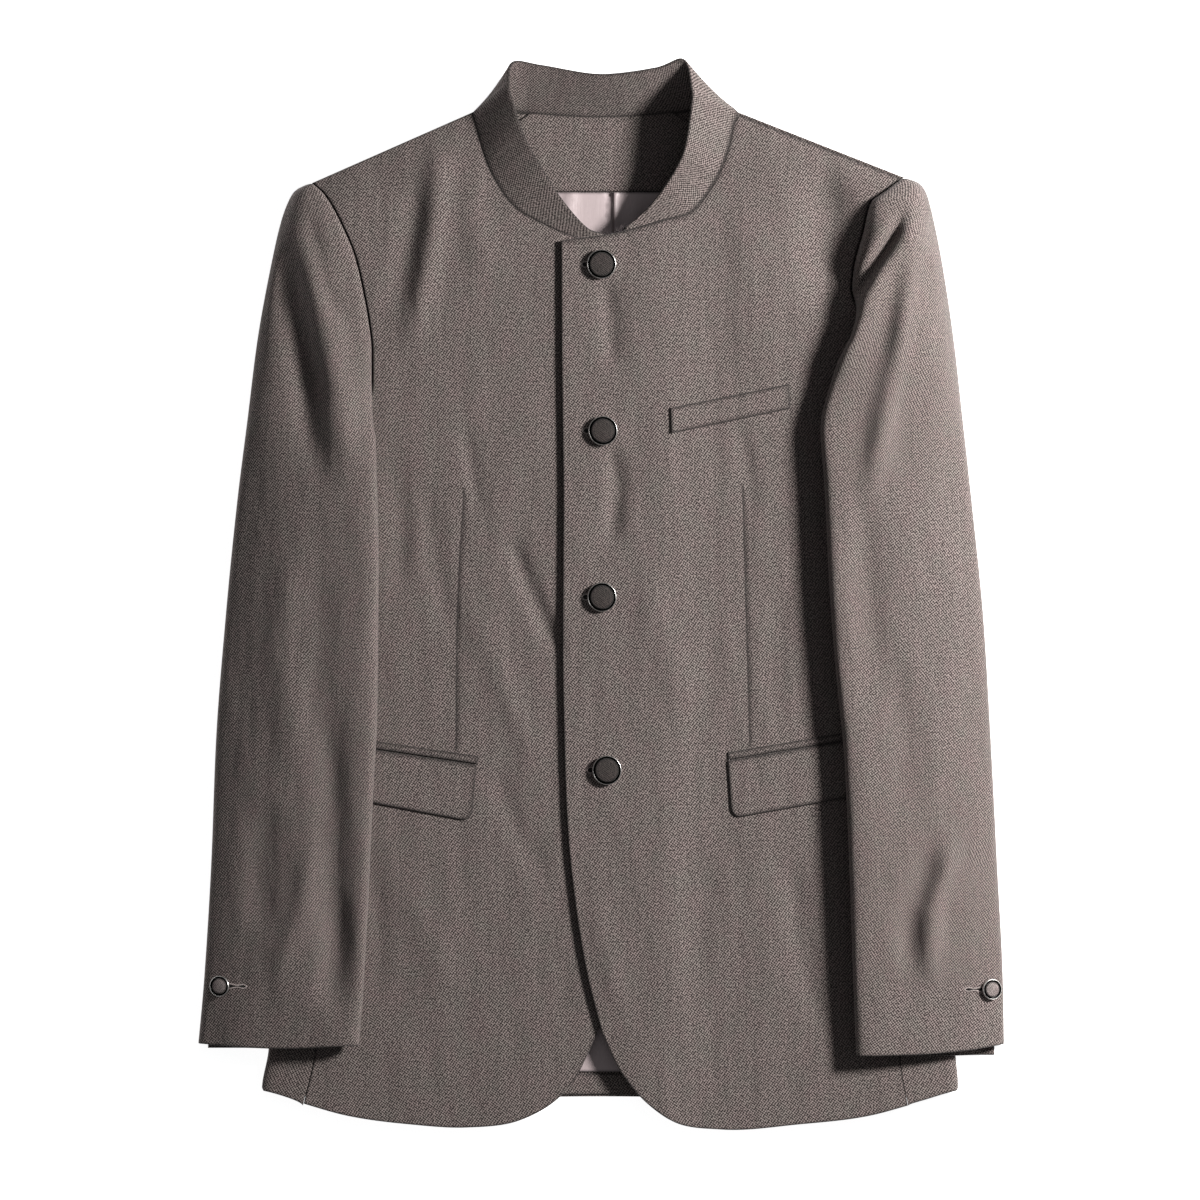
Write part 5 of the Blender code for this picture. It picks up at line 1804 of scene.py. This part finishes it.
def stitch_tree() -> bpy.types.NodeTree:
    """Geometry Nodes that lay short stitches across or along the lines of a mesh.

    Returns:
        The node group, made once. Its sizes are in metres and its turn in radians.
    """
    name = "stitches along a line"
    if name in bpy.data.node_groups:
        return bpy.data.node_groups[name]
    group = bpy.data.node_groups.new(name, "GeometryNodeTree")
    group.interface.new_socket("Lines", in_out="INPUT", socket_type="NodeSocketGeometry")
    add_inputs(group, {"Spacing": 0.0007, "Across": 0.0006, "Along": 0.0003, "Thick": 0.0002, "Slant": 0.0,
                       "Unevenness": UNEVENNESS})
    group.interface.new_socket("Seed", in_out="INPUT", socket_type="NodeSocketInt")
    group.interface.new_socket("Thread", in_out="INPUT", socket_type="NodeSocketMaterial")
    group.interface.new_socket("Stitches", in_out="OUTPUT", socket_type="NodeSocketGeometry")
    tree = Tree(group)
    given = tree.node("NodeGroupInput")
    curve = tree.feed(tree.node("GeometryNodeMeshToCurve"), i0=given.outputs["Lines"])
    level = tree.feed(tree.node("GeometryNodeSetCurveNormal", mode="Z_UP"), i0=curve.outputs[0])
    spots = tree.node("GeometryNodeCurveToPoints", mode="LENGTH")
    tree.feed(spots, Curve=level.outputs[0], Length=given.outputs["Spacing"])
    ball = tree.node("GeometryNodeMeshUVSphere")
    tree.feed(ball, Segments=6, Rings=4, Radius=1.0)
    size = tree.node("ShaderNodeCombineXYZ")
    tree.feed(size, X=given.outputs["Across"], Y=given.outputs["Thick"], Z=given.outputs["Along"])
    laid = tree.node("GeometryNodeInstanceOnPoints")
    tree.feed(laid, Points=spots.outputs["Points"], Instance=ball.outputs["Mesh"], Rotation=spots.outputs["Rotation"],
              Scale=size.outputs[0])
    uneven = tree.node("FunctionNodeRandomValue", data_type="FLOAT")
    tree.feed(uneven, i2=tree.math("MULTIPLY", given.outputs["Unevenness"], -1.0), i3=given.outputs["Unevenness"],
              Seed=given.outputs["Seed"])
    angle = tree.math("ADD", uneven.outputs[1], given.outputs["Slant"])
    turn = tree.feed(tree.node("ShaderNodeCombineXYZ"), Y=angle)
    turned = tree.node("GeometryNodeRotateInstances")
    tree.feed(turned, Instances=laid.outputs[0], Rotation=turn.outputs[0])
    solid = tree.feed(tree.node("GeometryNodeRealizeInstances"), i0=turned.outputs[0])
    finish = tree.node("GeometryNodeSetMaterial")
    tree.feed(finish, Geometry=solid.outputs[0], Material=given.outputs["Thread"])
    smooth = tree.feed(tree.node("GeometryNodeSetShadeSmooth"), i0=finish.outputs[0])
    tree.feed(tree.node("NodeGroupOutput"), i0=smooth.outputs[0])
    return group


@dataclass
class StitchRow:
    """One kind of stitch along a set of lines, in millimetres."""

    name: str
    lines: Sequence[Array]  # x, y and z of each line's points
    spacing: float
    across: float  # half the stitch's reach to both sides of its line
    along: float
    thick: float = 0.2
    slant: float = 0.0
    thread: TwillFinish = THREAD
    seed: int = 1

    def make(self) -> Piece:
        """Sews the stitches and turns them into a plain mesh.

        Returns:
            All the stitches, as one piece.
        """
        points = np.concatenate(self.lines)
        edges: list[tuple[int, int]] = []
        start = 0
        for line in self.lines:
            edges += [(start + k, start + k + 1) for k in range(len(line) - 1)]
            start += len(line)
        mesh = bpy.data.meshes.new(self.name)
        mesh.from_pydata(((points - MIDDLE) * MM).tolist(), edges, [])
        guide = placed(f"{self.name}_guide", mesh)
        modifier = guide.modifiers.new("stitches", "NODES")
        modifier.node_group = stitch_tree()
        values = {"Spacing": self.spacing * MM, "Across": self.across * MM, "Along": self.along * MM,
                  "Thick": self.thick * MM, "Slant": self.slant, "Unevenness": UNEVENNESS, "Seed": self.seed,
                  "Thread": self.thread.material()}
        for item in modifier.node_group.interface.items_tree:
            if item.in_out == "INPUT" and item.name in values:
                modifier[item.identifier] = values[item.name]
        ready = guide.evaluated_get(bpy.context.evaluated_depsgraph_get())
        sewn = bpy.data.meshes.new_from_object(ready)
        guide.modifiers.clear()
        bpy.data.objects.remove(guide)
        sewn.name = self.name
        made = placed(self.name, sewn)
        layer = sewn.uv_layers.get("cut") or sewn.uv_layers.new(name="cut")
        places = np.empty(len(sewn.vertices) * 3)
        sewn.vertices.foreach_get("co", places)
        corners = np.empty(len(sewn.loops), int)
        sewn.loops.foreach_get("vertex_index", corners)
        layer.data.foreach_set("uv", places.reshape(-1, 3)[corners, :2].ravel())
        return Piece(made, (), Slot.WOOL)


@dataclass
class Buttonhole:
    """A keyhole buttonhole: a worked edge round an opening painted near black for the shade inside it, its eyelet
    away from the button.
    """

    name: str
    surface: Callable[[Array, Array], Array]  # the cloth, from x and y
    centre: tuple[float, float]  # the button's centre
    towards: float  # 1 if the slit runs to +x from the eyelet
    eyelet: float = 14.6  # distance of its tip from the button's centre
    half: float = 1.7  # half the eyelet's height
    slit: float = 20.0
    lift: float = 0.14  # of the opening's face over the cloth
    depth: float = 0.3  # of the opening's base under its face
    edge: float = 0.55  # from the opening to the middle of its stitches

    def outline(self, wider: float) -> Array:
        """The opening's outline, moved outwards.

        Args:
            wider: How far it is moved.

        Returns:
            Its points; the last repeats the first.
        """
        tip, half = -self.eyelet - wider, self.half + wider
        upper = ((tip, 0.0), (tip + 1.0, 0.62 * half), (tip + 2.6, half), (tip + 4.2, 0.82 * half),
                 (tip + 5.6, 0.3 + wider), (tip + self.slit, 0.3 + wider))
        lower = tuple((x, -y) for x, y in upper[:0:-1])
        line = line_through(upper + lower + upper[:1], 0.35)
        return np.array(self.centre) + line * (self.towards, 1.0)

    def make(self) -> list[Piece]:
        """Builds the opening and its stitches.

        Returns:
            The opening and its stitches.
        """
        line = self.outline(0.0)[:-1]
        middle = line.mean(axis=0)
        flat = np.concatenate([line, [middle]])
        top = self.surface(*flat.T) + (0.0, 0.0, self.lift)
        base = top - (0.0, 0.0, self.depth)
        count, last = len(line), len(line)
        faces: list[tuple[int, ...]] = []
        for k in range(count):
            after = (k + 1) % count
            faces.append((k, after, last) if self.towards < 0 else (after, k, last))
            low = (k + count + 1, after + count + 1, last + count + 1)
            faces.append(low[::-1] if self.towards < 0 else (low[1], low[0], low[2])[::-1])
            wall = (k, k + count + 1, after + count + 1, after)
            faces.append(wall if self.towards < 0 else wall[::-1])
        made = new_object(f"{self.name}_opening", np.concatenate([top, base]), faces, [OPENING_SHADE.material()])
        made.data.uv_layers.new(name="cut")
        edge = self.outline(self.edge)
        lifted = self.surface(*edge.T) + (0.0, 0.0, 0.2)
        stitches = StitchRow(f"{self.name}_stitches", [lifted], spacing=0.5, across=0.62, along=0.24)
        return [Piece(made, (), Slot.WOOL), stitches.make()]


@dataclass
class Sewing:
    """Buttonholes and hand stitches."""

    buttons: Buttons

    def make(self) -> list[Piece]:
        """Builds every buttonhole and row of stitches.

        Returns:
            All the pieces.
        """
        found: list[Piece] = []
        for number, centre in enumerate(self.buttons.front, 1):
            found += Buttonhole(f"front_buttonhole_{number}", lying(over_height), centre, 1.0).make()
        for side, centre in zip(SIDES, self.buttons.cuffs):
            hole = Buttonhole(f"sleeve_buttonhole_{side.name}", self.cuff_surface(side), centre, -side.sign,
                              eyelet=19.0, half=0.9, slit=18.0)
            found += hole.make()
        return found + self.facing_stitches()

    @staticmethod
    def cuff_surface(side: Side) -> Callable[[Array, Array], Array]:
        """The top sleeve's outer face as a function of x and y, near the cuff.

        Args:
            side: The sleeve's side.

        Returns:
            The face, as a function of x and y.
        """
        sleeve = Sleeve(side)
        along = np.linspace(0.2, 0.75, 240) * sleeve.around

        def place(x: Array, y: Array) -> Array:
            """The face over x and y, read off the sleeve's section there.

            Args:
                x: x of each point.
                y: y of each point.

            Returns:
                The place of each point on the face.
            """
            heights = []
            for px, py in zip(x, y):
                row = sleeve.top(along, np.full(len(along), py))
                order = np.argsort(row[:, 0])
                heights.append(np.interp(px, row[order, 0], row[order, 2]))
            return np.stack([x, y, np.array(heights)], axis=-1)

        return place

    @staticmethod
    def facing_stitches() -> list[Piece]:
        """Fell stitches that hold the facing's lower edge to the lining.

        Returns:
            The stitches, as the only piece.
        """
        x = np.linspace(-56.0, 62.0, 120)
        over_facing = CLOTH + SEAM + 1.35
        line = lying(back_height, over_facing)(x, np.full_like(x, FACING_BOTTOM + 0.1))
        row = StitchRow("facing_fell_stitches", [line], spacing=2.6, across=0.75, along=0.25, thick=0.3, slant=0.6,
                        thread=DARK_THREAD)
        return [row.make()]


@dataclass
class Studio:
    """The floor, the lights and the camera."""

    across: float = 0.9  # metres of floor that the frame is wide
    distance: float = 6.0
    centre: tuple[float, float] = (-1.125, -4.5)  # millimetres, as the panels
    azimuth: float = 20.0  # of the key light, degrees from +X towards +Y
    elevation: float = 35.0
    key_distance: float = 2.0
    key_size: float = 0.42
    key_power: float = 92.0
    fill: float = 0.15
    floor_glow: float = 0.88
    floor_half: float = 4.0  # metres from its middle to each side
    floor_tints: tuple = ((0.9, 0.9, 0.895, 1.0), (0.93, 0.93, 0.93, 1.0))
    lamp_tint: tuple = (1.0, 0.985, 0.965)
    surround: tuple = (0.97, 0.98, 1.0, 1.0)
    level: float = 0.012  # metres, the height at which the frame is that wide

    def make(self) -> None:
        """Adds everything to the scene."""
        self.make_floor()
        self.make_lights()
        self.make_camera()
        bpy.context.scene.view_settings.view_transform = "Standard"

    def make_floor(self) -> None:
        """A plain pale floor."""
        half = self.floor_half
        mesh = bpy.data.meshes.new("floor")
        corners = [(-half, -half, 0), (half, -half, 0), (half, half, 0), (-half, half, 0)]
        mesh.from_pydata(corners, [], [(0, 1, 2, 3)])
        floor = placed("floor", mesh)
        paint, tree, shader = new_material("floor_paint")
        place = tree.node("ShaderNodeTexCoord").outputs["Object"]
        cloud = tree.noise(tree.scaled(place, (1.5, 1.5, 1.5)), 2.0)
        tree.feed(shader, Base_Color=tree.mix(cloud, *self.floor_tints), Roughness=0.9, Specular_IOR_Level=0.1,
                  Emission_Color=(1.0, 1.0, 1.0, 1.0), Emission_Strength=self.floor_glow)
        mesh.materials.append(paint)

    def make_lights(self) -> None:
        """One soft lamp from the upper right, and an even pale surround."""
        azimuth, elevation = math.radians(self.azimuth), math.radians(self.elevation)
        towards = Vector((math.cos(azimuth) * math.cos(elevation), math.sin(azimuth) * math.cos(elevation),
                          math.sin(elevation)))
        lamp = bpy.data.lights.new("key", "AREA")
        lamp.shape = "DISK"
        lamp.size = self.key_size
        lamp.energy = self.key_power
        lamp.color = self.lamp_tint
        key = placed("key", lamp)
        key.location = towards * self.key_distance
        key.rotation_euler = towards.to_track_quat("Z", "Y").to_euler()
        world = bpy.data.worlds.new("surround")
        world.use_nodes = True
        background = world.node_tree.nodes["Background"]
        background.inputs["Color"].default_value = self.surround
        background.inputs["Strength"].default_value = self.fill
        bpy.context.scene.world = world

    def make_camera(self) -> None:
        """A long lens straight down."""
        lens = bpy.data.cameras.new("camera")
        lens.sensor_width = 36.0
        lens.lens = lens.sensor_width * self.distance / self.across
        lens.clip_end = 50.0
        camera = placed("camera", lens)
        x, y = (np.array(self.centre) - MIDDLE[:2]) * MM
        camera.location = (x, y, self.distance + self.level)
        bpy.context.scene.camera = camera


def main() -> None:
    logging.basicConfig(level=logging.INFO, format="%(message)s")
    Studio().make()
    buttons = Buttons()
    assemblies = [Back(), *(SidePanel(side) for side in SIDES), Fronts(), *(Sleeve(side) for side in SIDES),
                  StandCollar(), Pockets(), buttons, Sewing(buttons)]
    for assembly in assemblies:
        for piece in assembly.make():
            piece.declare()


if __name__ == "__main__":
    main()
